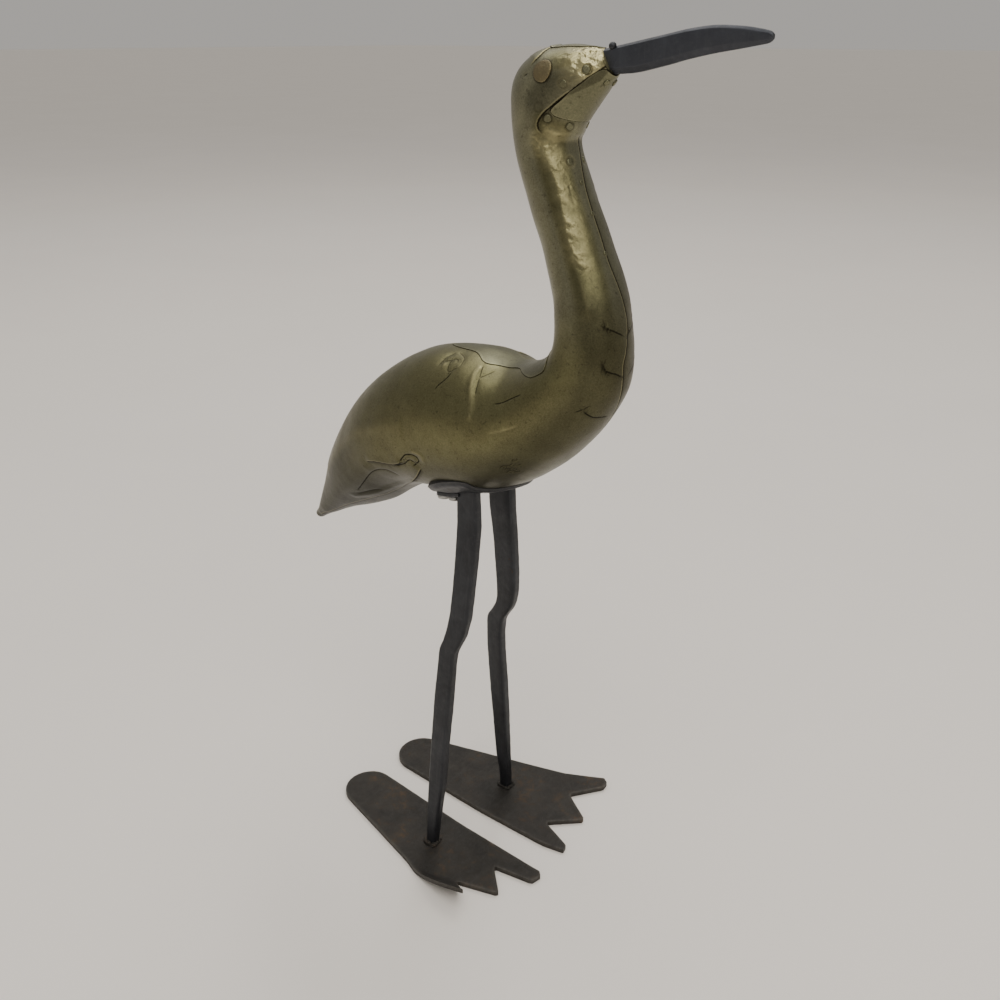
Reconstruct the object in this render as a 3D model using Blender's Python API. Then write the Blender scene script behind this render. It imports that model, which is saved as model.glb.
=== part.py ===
"""A standing crane: a body of brass sheet on forged iron legs and feet, with an iron bill and copper eyes.
Metres, +Z up, the bill towards +X and the bird's left side towards +Y."""

from math import cos, degrees, pi, radians, sin

import bmesh
import bpy
from mathutils import Vector
from mathutils.bvhtree import BVHTree

MM = 0.001

# Driving sizes
HEAD_HEIGHT = 400 * MM
GAP = 0.3 * MM  # clearance between pieces that touch
SEAM_GAP = 0.3 * MM  # between the two halves of the body
SHEET = 0.7 * MM  # brass plates laid over the body
EYE_RADIUS = 3.9 * MM
EYE_THICKNESS = 0.6 * MM
RIVET_RADIUS = 1.5 * MM
RIVET_HEIGHT = 0.6 * MM
SEAM_NAIL_RADIUS = 1.1 * MM
BILL_HALF_THICKNESS = 2.7 * MM
BILL_STUD_RADIUS = 1.4 * MM
BILL_STUD_PLACE = 4.0 * MM  # from the bill's root
BILL_STUD_CLEARANCE = 0.4 * MM
HIP_THICKNESS = 2.2 * MM
HIP_REAR_MARGIN = 1.7 * MM  # how far the hip plate reaches behind the flanges
HIP_SIDE_MARGIN = 0.8 * MM  # and outside them
FLANGE_THICKNESS = 2.2 * MM
FLANGE_LENGTH = 12.8 * MM
FLANGE_WIDTH = 7.5 * MM
FLANGE_STEPS = 5
BOLT_RADIUS = 2.85 * MM
BOLT_HEIGHT = 1.9 * MM
BOLT_CLEARANCE = 0.2 * MM  # more, where the flange is bent over the belly
BOLT_PLACES = (0.4, 0.86)  # along the flange, as shares of its length
LEG_THICKNESS_TOP = 5.2 * MM
LEG_THICKNESS_FOOT = 5.4 * MM
STANCE = 30.5 * MM  # from the middle to a leg's centre, on the floor
HIP_STANCE = 11.0 * MM  # the same, where the leg meets the belly
FOOT_THICKNESS = 3.0 * MM
TOE_OUT = radians(8)
TOE_CURL = 11 * MM  # how far the right foot's outer toe is bent up
SHARP_EDGE = radians(35)  # faces that meet more steeply keep a sharp edge

# The free form is drawn for a bird whose head is 400 units high
FORM = HEAD_HEIGHT / 400

# Sections of the brass body, from the tail's tip to the face. Each is the back line's point (x, z), the
# belly line's point (x, z), the half width, the share of the way down where it is widest, and how sharply
# its lower half tucks in (1 is round).
SECTIONS = [
    (-111.8, 158.9, -108.2, 155.1, 3.2, 0.50, 1.0),
    (-106.0, 166.6, -99.6, 160.1, 6.0, 0.48, 1.1),
    (-95.6, 186.2, -79.9, 170.2, 13.0, 0.48, 1.3),
    (-80.2, 216.1, -51.1, 183.1, 22.5, 0.49, 1.4),
    (-54.7, 248.0, -23.8, 200.7, 29.5, 0.54, 1.25),
    (-19.8, 270.5, 5.6, 206.9, 32.0, 0.50, 1.0),
    (11.9, 276.5, 32.4, 215.2, 32.0, 0.49, 1.0),
    (34.6, 273.6, 62.0, 236.0, 28.0, 0.45, 1.0),
    (54.6, 283.8, 86.0, 269.8, 20.5, 0.43, 1.0),
    (56.2, 301.5, 85.4, 304.6, 16.8, 0.49, 1.0),
    (50.6, 320.1, 75.8, 329.9, 14.3, 0.50, 1.0),
    (42.3, 339.9, 65.7, 350.1, 13.4, 0.50, 1.0),
    (35.0, 358.4, 60.0, 364.5, 13.0, 0.50, 1.0),
    (31.8, 374.5, 61.5, 369.0, 13.4, 0.50, 1.0),
    (33.0, 388.0, 63.9, 373.4, 13.7, 0.48, 1.0),
    (42.1, 396.7, 67.8, 378.5, 13.2, 0.48, 1.0),
    (56.8, 399.2, 72.0, 383.6, 10.6, 0.50, 1.0),
    (72.0, 398.0, 77.0, 389.6, 4.8, 0.50, 1.0),
]
RINGS_PER_SECTION = 4
HALF_SEGMENTS = 12

# Plates follow the body. Each outline is drawn on one side as (place along the sections, angle from the back
# line in degrees), from middle line to middle line, and mirrored.
CROWN_EDGE = [(16.98, 0), (16.98, 9), (16.4, 23), (15.55, 20), (15.4, 0)]
THROAT_EDGE = [(16.98, 180), (16.98, 112), (16.2, 121), (14.9, 127), (14.05, 121), (13.9, 131), (14.05, 180)]
BACK_EDGE = [
    (5.4, 0), (5.6, 7), (6.1, 11), (6.4, 21), (6.75, 14), (7.2, 14), (7.5, 40), (7.65, 53), (8, 63), (8.3, 0),
]
HIP_EDGE = [(6.3, 180), (6.2, 167), (6, 159), (5.75, 148), (5.7, 133)]  # its rear edge follows the flanges
HIP_CORNER = (0.4, 134)  # the plate's rear side corner: how far ahead of the rear edge, and its angle
HIP_PLACES = (3, 6)  # the rear edge lies between these sections
HALF_TURN = 180
SEARCH_STEPS = 30

# Rivet heads: place along the sections, angle from the back line, and how many plates lie under the head
RIVETS = {
    "cheek_rivet": (16.42, 99.5, 0),
    "jaw_rivet": (15.43, 109, 0),
    "throat_rivet": (16.55, 162, 1),
    "collar_rivet": (13.62, 121, 0),
    "neck_rivet": (13.5, 155, 0),
    "breast_rivet": (11.58, 160, 0),
}
SEAM_NAILS = [(11.1, 171), (10.5, 171), (9.85, 171)]
EYE_PLACE = (15.16, 75.5)

# The bill, from behind its base to its tip: x, upper edge, lower edge, share of the full thickness
BILL_SECTIONS = [
    (86.0, 400.9, 390.6, 1.00),
    (97.0, 403.0, 392.9, 0.95),
    (106.5, 404.8, 395.2, 0.85),
    (116.0, 405.8, 397.1, 0.75),
    (125.5, 405.4, 398.8, 0.62),
    (134.0, 404.1, 400.1, 0.48),
    (136.9, 402.9, 401.0, 0.40),
]
BILL_BASE = (1.04, -0.95)  # top and bottom of the bill's root, as shares of the face's half height
BILL_BEVEL_TOP = 1.1
BILL_BEVEL_BOTTOM = 1.9
BILL_TIP_BEVELS = (0.35, 0.6)  # where the blade is too low for them, as shares of its height
BILL_LEAST_SIDE = 0.2  # the least height of the flat side between the bevels
BILL_EDGE = 0.35  # half width of the bill's narrow edges, as a share of its half thickness

# Each leg seen from its side: height, rear edge, front edge
RIGHT_LEG = [
    (24, -3.6, 4.3),
    (44, -3.6, 6.2),
    (70, -3.0, 7.0),
    (92, -2.5, 8.2),
    (110, -1.3, 8.8),
    (118, -0.8, 8.9),
    (123.5, -0.5, 9.8),
    (127.5, 1.6, 11.8),
    (134, 3.4, 14.8),
    (144, 5.3, 17.1),
    (158, 6.2, 18.1),
    (174, 6.9, 19.0),
    (194, 7.0, 19.5),
]
LEFT_LEG = [
    (17, -1.2, 5.4),
    (28, -2.3, 5.8),
    (60, -2.4, 7.2),
    (80, -2.5, 7.8),
    (104, -2.1, 8.0),
    (116, -1.3, 8.6),
    (122, -0.8, 9.6),
    (126, 0.1, 10.5),
    (130, 3.2, 12.9),
    (134, 5.5, 15.9),
    (139, 7.4, 18.2),
    (146, 8.1, 20.0),
    (158, 8.3, 21.1),
    (174, 8.3, 21.6),
    (194, 7.4, 21.6),
]
RIGHT_LEG_FOOT = (-3.1, 2.7)  # rear and front edge on the foot plate
LEFT_LEG_FOOT = (-1.2, 4.6)
LEG_HIP = (7.0, 20.4)  # rear and front edge under the hip plate
LEG_CHAMFER = 0.2  # as a share of the leg's thickness
LEG_TOP = 0.5  # the height at which a leg stands at its hip stance, as a share of the head's height

# Each foot's heel is an arc (centre forward and outward of the leg's foot, radius), and its outline goes on
# from there along the outer edge and round the toes.
HEEL_ARC = (-95, -265)
HEEL_STEPS = 10
RIGHT_HEEL = (-59.0, 0.4, 13.8)
RIGHT_TOES = [
    (0, 18.4),
    (10, 20.2),
    (18, 20.8),
    (26, 21.2),
    (32, 20.8),
    (38, 19.4),
    (43.4, 17.4),
    (44.0, 15.2),
    (30.2, 8.8),
    (51.4, -2.3),
    (35.6, -12.8),
    (56.6, -20.6),
    (57.0, -26.6),
    (54.6, -28.3),
    (48.2, -27.2),
    (0, -19.8),
]
LEFT_HEEL = (-57.2, -3.4, 14.2)
LEFT_TOES = [
    (24.6, 26.0),
    (40, 31.8),
    (48.0, 35.2),
    (51.0, 32.8),
    (51.2, 28.0),
    (36.8, 12.1),
    (54.2, -1.7),
    (36.3, -15.0),
    (54.7, -24.4),
    (55.1, -28.4),
    (42.3, -29.6),
    (0, -25.8),
]
CURL_FOLD = ((30.2, 8.8), (0.444, 0.896))  # a point on the fold, and the way it rises
CURL_REACH = 13.7
CURL_BEND = 1.4  # how much faster the toe rises towards its end
CURL_STEPS = 5

# Round heads seen from their side: share of the radius, share of the edge's height, share of the crown
DISC_PROFILE = [(0.3, 0, 0), (0.7, 0, 0), (1, 0, 0), (1, 0.5, 0), (0.85, 1, 0), (0.4, 1, 1)]
BOLT_PROFILE = [(1, 0), (1, 0.35), (0.85, 0.75), (0.5, 1)]
RIVET_CROWN = 0.3  # as a share of the rivet's height
EYE_CROWN = 0.1 * MM
EYE_SIDES = 20
BOLT_SIDES = 14
RIVET_SIDES = 10
NAIL_SIDES = 8

BRASS = ("brass", (0.27, 0.22, 0.09), 0.38, 1.0)
BRASS_PLATE = ("brass_plate", (0.30, 0.25, 0.11), 0.34, 1.0)
COPPER = ("copper", (0.24, 0.13, 0.07), 0.45, 1.0)
IRON = ("black_iron", (0.03, 0.03, 0.034), 0.5, 0.8)
FOOT_IRON = ("foot_iron", (0.035, 0.031, 0.028), 0.62, 0.7)
STEEL = ("bolt_steel", (0.35, 0.35, 0.34), 0.35, 1.0)

parts = bpy.data.collections.new("crane_figurine")


def clear_scene():
    for obj in list(bpy.data.objects):
        bpy.data.objects.remove(obj)


def material(look):
    name, colour, roughness, metallic = look
    made = bpy.data.materials.new(name)
    made.use_nodes = True
    shader = made.node_tree.nodes["Principled BSDF"]
    shader.inputs["Base Color"].default_value = (*colour, 1)
    shader.inputs["Roughness"].default_value = roughness
    shader.inputs["Metallic"].default_value = metallic
    return made


def add_piece(name, mesh_edit, look):
    """Turns an edited mesh into a named piece, with its faces outward and its curved sides smooth."""
    bmesh.ops.recalc_face_normals(mesh_edit, faces=mesh_edit.faces)
    mesh = bpy.data.meshes.new(name)
    mesh_edit.to_mesh(mesh)
    mesh_edit.free()
    mesh.shade_smooth()
    mesh.set_sharp_from_angle(angle=SHARP_EDGE)
    piece = bpy.data.objects.new(name, mesh)
    mesh.materials.append(material(look))
    parts.objects.link(piece)
    return piece


def loft(rings):
    """Skins closed rings of equal length and closes both ends."""
    made = bmesh.new()
    rows = [[made.verts.new(point) for point in ring] for ring in rings]
    count = len(rows[0])
    for low, high in zip(rows, rows[1:]):
        for i in range(count):
            j = (i + 1) % count
            made.faces.new((low[i], low[j], high[j], high[i]))
    made.faces.new(rows[0])
    made.faces.new(rows[-1])
    return made


def spline(rows, place):
    """A smooth curve through the rows of numbers, read at a place counted in rows."""
    last = len(rows) - 1
    start = min(int(place), last - 1)
    t = place - start
    b, c = rows[start], rows[start + 1]
    a = rows[start - 1] if start else [2 * x - y for x, y in zip(b, c)]
    d = rows[start + 2] if start + 2 <= last else [2 * y - x for x, y in zip(b, c)]
    return [
        0.5 * (2 * q + (r - p) * t + (2 * p - 5 * q + 4 * r - s) * t**2 + (3 * q - p - 3 * r + s) * t**3)
        for p, q, r, s in zip(a, b, c, d)
    ]


def body_point(place, angle):
    """A point of the brass body. The angle runs from the back line, positive on the left side."""
    top_x, top_z, low_x, low_z, half, share, tuck = spline(SECTIONS, place)
    top, low = Vector((top_x, 0, top_z)), Vector((low_x, 0, low_z))
    middle = top.lerp(low, share)
    across, along = sin(angle), cos(angle)
    point = middle + ((top - middle) * along if along > 0 else (middle - low) * along)
    point.y = half * (1 if across > 0 else -1) * abs(across) ** (1 if along > 0 else tuck)
    return point * FORM


def body_normal(place, angle):
    step = 0.02
    ahead = body_point(min(place + step, len(SECTIONS) - 1), angle)
    behind = body_point(max(place - step, 0), angle)
    turned = body_point(place, angle + step) - body_point(place, angle - step)
    normal = (ahead - behind).cross(turned).normalized()
    outward = body_point(place, angle) - (body_point(place, 0) + body_point(place, pi)) / 2
    return normal if normal.dot(outward) > 0 else -normal


def off_body(place, angle, height):
    return body_point(place, angle) + body_normal(place, angle) * height


def make_shell(name, side):
    """One half of the brass body, flat where it meets the other half."""
    rings = []
    for i in range((len(SECTIONS) - 1) * RINGS_PER_SECTION + 1):
        ring = []
        for j in range(HALF_SEGMENTS + 1):
            point = body_point(i / RINGS_PER_SECTION, pi * j / HALF_SEGMENTS)
            point.y = side * max(point.y, SEAM_GAP / 2)
            ring.append(point)
        rings.append(ring)
    return add_piece(name, loft(rings), BRASS)


def cut_across(mesh_edit, place, normal):
    """Cuts the faces where a plane meets them, and keeps both sides."""
    whole = mesh_edit.verts[:] + mesh_edit.edges[:] + mesh_edit.faces[:]
    bmesh.ops.bisect_plane(mesh_edit, geom=whole, plane_co=place, plane_no=normal)


def thicken(mesh_edit):
    """Closes a flat outline into a plate one unit thick."""
    grown = bmesh.ops.extrude_face_region(mesh_edit, geom=mesh_edit.faces[:])
    for item in grown["geom"]:
        if isinstance(item, bmesh.types.BMVert):
            item.co.z = 1


def make_plate(name, edge, middle, thickness, look):
    """A plate laid over the body, creased along the body's own lines so that it follows every facet."""
    mirrored = [(place, 2 * middle - angle) for place, angle in reversed(edge) if angle != middle]
    made = bmesh.new()
    made.faces.new([made.verts.new((place, angle, 0)) for place, angle in edge + mirrored])
    for i in range((len(SECTIONS) - 1) * RINGS_PER_SECTION):
        cut_across(made, (i / RINGS_PER_SECTION, 0, 0), (1, 0, 0))
    for i in range(-HALF_SEGMENTS, 2 * HALF_SEGMENTS):
        cut_across(made, (0, HALF_TURN * i / HALF_SEGMENTS, 0), (0, 1, 0))
    thicken(made)
    for vertex in made.verts:
        place, angle, level = vertex.co
        vertex.co = off_body(place, radians(angle), GAP + thickness * level)
    return add_piece(name, made, look)


def hip_edge():
    """The hip plate's outline: its rear edge lies a margin behind the flanges and outside them."""
    behind = LEG_HIP[0] * FORM - FLANGE_LENGTH - HIP_REAR_MARGIN
    beside = HIP_STANCE + FLANGE_WIDTH / 2 + HIP_SIDE_MARGIN
    rear = search(*HIP_PLACES, lambda place: body_point(place, pi).x > behind)
    angle = search(pi, pi / 2, lambda turn: abs(body_point(rear, turn).y) > beside)
    ahead, corner = HIP_CORNER
    return HIP_EDGE + [(rear + ahead, min(corner, degrees(angle))), (rear, degrees(angle)), (rear, HALF_TURN)]


def search(low, high, beyond):
    """Halves the span again and again to find where the test turns true."""
    for _ in range(SEARCH_STEPS):
        middle = (low + high) / 2
        low, high = (low, middle) if beyond(middle) else (middle, high)
    return high


def make_disc(name, place, angle, radius, thickness, base, crown, look, sides):
    """A round head bent to the body it lies on, raised by the crown in its middle."""
    step = 0.01
    ahead = (body_point(place + step, angle) - body_point(place - step, angle)) / (2 * step)
    round_it = (body_point(place, angle + step) - body_point(place, angle - step)) / (2 * step)
    forward = ahead.normalized()
    sideways = body_normal(place, angle).cross(forward)
    lean = ahead.dot(round_it)
    scale = ahead.length_squared * round_it.length_squared - lean**2

    def ring(share, height):
        points = []
        for i in range(sides):
            turn = 2 * pi * i / sides
            away = (forward * cos(turn) + sideways * sin(turn)) * radius * share
            on_ahead, on_round = ahead.dot(away), round_it.dot(away)
            next_place = place + (round_it.length_squared * on_ahead - lean * on_round) / scale
            next_angle = angle + (ahead.length_squared * on_round - lean * on_ahead) / scale
            points.append(off_body(next_place, next_angle, height))
        return points

    rings = [ring(share, base + thickness * edge + crown * rise) for share, edge, rise in DISC_PROFILE]
    return add_piece(name, loft(rings), look)


def make_rivets():
    for name, (place, angle, plates) in RIVETS.items():
        base = GAP + plates * (SHEET + GAP)
        for side, word in ((-1, "right"), (1, "left")):
            make_disc(
                f"{word}_{name}", place, side * radians(angle), RIVET_RADIUS, RIVET_HEIGHT,
                base, RIVET_HEIGHT * RIVET_CROWN, BRASS_PLATE, RIVET_SIDES,
            )
    for i, (place, angle) in enumerate(SEAM_NAILS):
        make_disc(
            f"seam_nail_{i + 1}", place, -radians(angle), SEAM_NAIL_RADIUS, RIVET_HEIGHT,
            GAP, RIVET_HEIGHT * RIVET_CROWN, BRASS_PLATE, NAIL_SIDES,
        )


def blade_ring(top, bottom, half):
    """Six-sided section of the bill: flat sides with a bevel above and a wider one below."""
    down = (bottom - top).normalized()
    upper, lower = top + down * BILL_BEVEL_TOP * FORM, bottom - down * BILL_BEVEL_BOTTOM * FORM
    if (lower - upper).dot(down) < BILL_LEAST_SIDE * FORM:
        upper, lower = [top.lerp(bottom, share) for share in BILL_TIP_BEVELS]
    edge = half * BILL_EDGE
    ring = [(top, edge), (upper, half), (lower, half), (bottom, edge)]
    left = [point + Vector((0, y, 0)) for point, y in ring]
    right = [point - Vector((0, y, 0)) for point, y in reversed(ring)]
    return left + right


def make_bill():
    """A forged blade whose root lies flat against the face, with a small stud on its right upper bevel."""
    end = len(SECTIONS) - 1
    top, low = body_point(end, 0), body_point(end, pi)
    middle, half = (top + low) / 2, (top - low) / 2
    away = Vector((half.z, 0, -half.x)).normalized() * GAP
    root = [middle + half * share + away for share in BILL_BASE]
    rings = [blade_ring(root[0], root[1], BILL_HALF_THICKNESS)]
    for x, upper, lower, share in BILL_SECTIONS:
        points = Vector((x, 0, upper)) * FORM, Vector((x, 0, lower)) * FORM
        rings.append(blade_ring(*points, BILL_HALF_THICKNESS * share))
    add_piece("bill", loft(rings), IRON)

    along = (rings[1][-1] - rings[0][-1]).normalized()
    edge = rings[0][-1].lerp(rings[0][-2], 0.5) + along * BILL_STUD_PLACE
    rise = along.cross(rings[0][-1] - rings[0][-2]).normalized()
    stud = bmesh.new()
    bmesh.ops.create_uvsphere(stud, u_segments=12, v_segments=8, radius=BILL_STUD_RADIUS)
    cut = bmesh.ops.bisect_plane(
        stud, geom=stud.verts[:] + stud.edges[:] + stud.faces[:],
        plane_co=(0, 0, 0), plane_no=(0, 0, -1), clear_outer=True,
    )
    rim = [edge for edge in cut["geom_cut"] if isinstance(edge, bmesh.types.BMEdge)]
    bmesh.ops.contextual_create(stud, geom=rim)
    turn = Vector((0, 0, 1)).rotation_difference(rise)
    for vertex in stud.verts:
        vertex.co = edge + rise * BILL_STUD_CLEARANCE + turn @ vertex.co
    add_piece("bill_stud", stud, IRON)


def surface_under(piece, x, y):
    """The height of the piece's underside above the floor, at a place seen from below."""
    tree = BVHTree.FromPolygons(
        [vertex.co for vertex in piece.data.vertices], [face.vertices for face in piece.data.polygons]
    )
    hit = tree.ray_cast(Vector((x, y, 0)), Vector((0, 0, 1)))
    return hit[0].z


def leg_ring(rear, front, thickness, middle, heights):
    """A strip's section with cut corners, running round from its rear outer corner."""
    half, cut = thickness / 2, thickness * LEG_CHAMFER
    corners = [
        (rear + cut, -half), (front - cut, -half), (front, -half + cut), (front, half - cut),
        (front - cut, half), (rear + cut, half), (rear, half - cut), (rear, -half + cut),
    ]
    return [Vector((x, middle + y, heights(x, middle + y))) for x, y in corners]


def make_leg(name, side, outline, foot_edges, hip_plate):
    """A forged strip with its bent knee, and a flange bent back under the hip plate."""
    top_height = HEAD_HEIGHT * LEG_TOP

    def centre(height):
        return side * (STANCE + (HIP_STANCE - STANCE) * height / top_height)

    def under_hip(x, y):
        return surface_under(hip_plate, x, y) - GAP

    floor = FOOT_THICKNESS + GAP
    rear, front = [x * FORM for x in foot_edges]
    rings = [leg_ring(rear, front, LEG_THICKNESS_FOOT, centre(floor), lambda x, y: floor)]
    for height, rear, front in outline:
        share = height * FORM / top_height
        thickness = LEG_THICKNESS_FOOT + (LEG_THICKNESS_TOP - LEG_THICKNESS_FOOT) * share
        level = height * FORM
        ring = leg_ring(rear * FORM, front * FORM, thickness, centre(level), lambda x, y, z=level: z)
        rings.append(ring)
    hip = side * HIP_STANCE
    rings.append(leg_ring(*[x * FORM for x in LEG_HIP], LEG_THICKNESS_TOP, hip, under_hip))
    leg = add_piece(name, loft(rings), IRON)

    start, end = LEG_HIP[0] * FORM + FLANGE_THICKNESS, LEG_HIP[0] * FORM - FLANGE_LENGTH
    rings = []
    for i in range(FLANGE_STEPS + 1):
        x = start + (end - start) * i / FLANGE_STEPS
        across = hip - FLANGE_WIDTH / 2, hip, hip + FLANGE_WIDTH / 2
        above = [Vector((x, y, under_hip(x, y))) for y in across]
        rings.append(above + [point - Vector((0, 0, FLANGE_THICKNESS)) for point in reversed(above)])
    flange = add_piece(f"{name}_flange", loft(rings), IRON)
    join = leg.modifiers.new("flange", "BOOLEAN")
    join.operation = "UNION"
    join.object = flange
    cutters.objects.link(flange)
    parts.objects.unlink(flange)
    flange.hide_render = True
    flange.display_type = "WIRE"

    for i, place in enumerate(BOLT_PLACES):
        x = start + (end - start) * place
        slope_x = (under_hip(x + MM, hip) - under_hip(x - MM, hip)) / (2 * MM)
        slope_y = (under_hip(x, hip + MM) - under_hip(x, hip - MM)) / (2 * MM)
        away = Vector((slope_x, slope_y, -1)).normalized()
        seat = Vector((x, hip, under_hip(x, hip) - FLANGE_THICKNESS)) + away * (GAP + BOLT_CLEARANCE)
        make_bolt(name.replace("leg", f"hip_bolt_{i + 1}"), seat, away)


def make_bolt(name, seat, away):
    """A domed steel head that stands away from its seat."""
    turn = Vector((0, 0, 1)).rotation_difference(away)
    rings = []
    turns = [2 * pi * i / BOLT_SIDES for i in range(BOLT_SIDES)]
    for share, rise in BOLT_PROFILE:
        corners = [Vector((cos(angle), sin(angle), 0)) for angle in turns]
        flat = [corner * BOLT_RADIUS * share + Vector((0, 0, BOLT_HEIGHT * rise)) for corner in corners]
        rings.append([seat + turn @ point for point in flat])
    add_piece(name, loft(rings), STEEL)


def curl(forward, outward):
    """How far the right foot's outer toe is bent up at a place on the sole."""
    (x, y), (rise_x, rise_y) = CURL_FOLD
    beyond = (forward - x) * rise_x + (outward - y) * rise_y
    return TOE_CURL * max(0.0, beyond / CURL_REACH) ** CURL_BEND


def make_foot(name, side, heel, toes, curled):
    """A cut plate with a round heel and three toes, turned a little outward."""
    forward, outward, radius = heel
    start, end = [radians(angle) for angle in HEEL_ARC]
    turns = [start + (end - start) * i / HEEL_STEPS for i in range(HEEL_STEPS + 1)]
    outline = [(forward + radius * cos(turn), outward + radius * sin(turn)) for turn in turns] + toes
    made = bmesh.new()
    made.faces.new([made.verts.new((x, y, 0)) for x, y in outline])
    if curled:
        (x, y), (rise_x, rise_y) = CURL_FOLD
        for step in range(CURL_STEPS):
            beyond = CURL_REACH * step / CURL_STEPS
            cut_across(made, (x + rise_x * beyond, y + rise_y * beyond, 0), (rise_x, rise_y, 0))
    thicken(made)
    for vertex in made.verts:
        forward, outward, level = vertex.co
        lift = curl(forward, outward) if curled else 0
        x = forward * cos(TOE_OUT) - outward * sin(TOE_OUT)
        y = forward * sin(TOE_OUT) + outward * cos(TOE_OUT)
        vertex.co = Vector((x * FORM, side * (y * FORM + STANCE), level * FOOT_THICKNESS + lift))
    return add_piece(name, made, FOOT_IRON)


def centre_on_floor():
    """Moves every piece so that the bird's box is centred over the origin and stands on the floor."""
    pieces = list(parts.objects) + list(cutters.objects)
    corners = [vertex.co for piece in pieces for vertex in piece.data.vertices]
    shift = Vector((
        -(min(c.x for c in corners) + max(c.x for c in corners)) / 2,
        -(min(c.y for c in corners) + max(c.y for c in corners)) / 2,
        -min(c.z for c in corners),
    ))
    for piece in pieces:
        for vertex in piece.data.vertices:
            vertex.co += shift


clear_scene()
cutters = bpy.data.collections.new("joined_shapes")
bpy.context.scene.collection.children.link(parts)
bpy.context.scene.collection.children.link(cutters)

make_shell("right_shell", -1)
make_shell("left_shell", 1)
make_plate("crown_plate", CROWN_EDGE, 0, SHEET, BRASS_PLATE)
make_plate("throat_plate", THROAT_EDGE, HALF_TURN, SHEET, BRASS_PLATE)
make_plate("back_plate", BACK_EDGE, 0, SHEET, BRASS_PLATE)
hip = make_plate("hip_plate", hip_edge(), HALF_TURN, HIP_THICKNESS, IRON)
for eye_side, eye_word in ((-1, "right"), (1, "left")):
    eye_place, eye_angle = EYE_PLACE
    make_disc(
        f"{eye_word}_eye", eye_place, eye_side * radians(eye_angle), EYE_RADIUS, EYE_THICKNESS,
        GAP, EYE_CROWN, COPPER, EYE_SIDES,
    )
make_rivets()
make_bill()
make_leg("right_leg", -1, RIGHT_LEG, RIGHT_LEG_FOOT, hip)
make_leg("left_leg", 1, LEFT_LEG, LEFT_LEG_FOOT, hip)
make_foot("right_foot", -1, RIGHT_HEEL, RIGHT_TOES, True)
make_foot("left_foot", 1, LEFT_HEEL, LEFT_TOES, False)
centre_on_floor()
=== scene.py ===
# %% [markdown]
# # A standing crane of brass sheet and forged iron
# The real bird is beaten and riveted from thin brass sheet, and it stands on two legs of flat iron strip.
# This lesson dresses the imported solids: each brass half gets a fine skin with its lapped edges, creases and
# hammer marks, and the iron gets its rounded edges, weld beads and a dark worn finish. Everything is in metres.

# %% Load the frame
import math

import bmesh
import bpy
import numpy as np
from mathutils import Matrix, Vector, noise
from mathutils.bvhtree import BVHTree


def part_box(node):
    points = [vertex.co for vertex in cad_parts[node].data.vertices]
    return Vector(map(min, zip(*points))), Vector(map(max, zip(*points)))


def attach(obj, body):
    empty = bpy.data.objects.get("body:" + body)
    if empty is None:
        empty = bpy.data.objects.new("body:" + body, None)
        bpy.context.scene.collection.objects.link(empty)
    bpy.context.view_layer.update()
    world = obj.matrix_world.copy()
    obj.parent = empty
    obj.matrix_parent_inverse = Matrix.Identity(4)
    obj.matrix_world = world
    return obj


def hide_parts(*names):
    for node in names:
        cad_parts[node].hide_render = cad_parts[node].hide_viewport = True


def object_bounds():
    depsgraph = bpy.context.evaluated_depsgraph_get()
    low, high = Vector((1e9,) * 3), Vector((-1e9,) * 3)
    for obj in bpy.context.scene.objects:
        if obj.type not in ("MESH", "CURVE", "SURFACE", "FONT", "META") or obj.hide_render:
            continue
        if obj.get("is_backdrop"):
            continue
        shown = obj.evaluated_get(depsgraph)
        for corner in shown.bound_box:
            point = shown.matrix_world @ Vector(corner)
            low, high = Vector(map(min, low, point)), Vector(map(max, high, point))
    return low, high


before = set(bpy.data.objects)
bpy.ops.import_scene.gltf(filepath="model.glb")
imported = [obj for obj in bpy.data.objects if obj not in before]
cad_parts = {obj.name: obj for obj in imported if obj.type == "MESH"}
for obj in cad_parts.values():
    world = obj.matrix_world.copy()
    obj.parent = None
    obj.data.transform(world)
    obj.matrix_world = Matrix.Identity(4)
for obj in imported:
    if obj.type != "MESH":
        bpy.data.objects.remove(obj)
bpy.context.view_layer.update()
MM = 0.001

# %% [markdown]
# ## Building blocks
# Most pieces are swept skins, so one helper turns rings of points into a closed mesh, and another makes the
# named object and lets it ride on the bird's only body. A row of rings is the usual way to build a lofted
# form, because each ring stays easy to read.

# %% Mesh helpers
def place_piece(name, mesh, finish, stands_for=()):
    piece = bpy.data.objects.new(name, mesh)
    bpy.context.scene.collection.objects.link(piece)
    mesh.materials.clear()
    mesh.materials.append(finish)
    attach(piece, "root")
    if stands_for:
        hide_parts(*stands_for)
    print(name, len(mesh.vertices), "points")
    return piece


def mesh_from_edit(name, edit, sharp=None):
    bmesh.ops.recalc_face_normals(edit, faces=edit.faces)
    mesh = bpy.data.meshes.new(name)
    edit.to_mesh(mesh)
    edit.free()
    mesh.shade_smooth()
    if sharp:
        mesh.set_sharp_from_angle(angle=math.radians(sharp))
    return mesh


def loft(rings):
    edit = bmesh.new()
    rows = [[edit.verts.new(Vector(point)) for point in ring] for ring in rings]
    count = len(rows[0])
    for low, high in zip(rows, rows[1:]):
        for i in range(count):
            j = (i + 1) % count
            edit.faces.new((low[i], low[j], high[j], high[i]))
    edit.faces.new(rows[0])
    edit.faces.new(rows[-1])
    return edit


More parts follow.
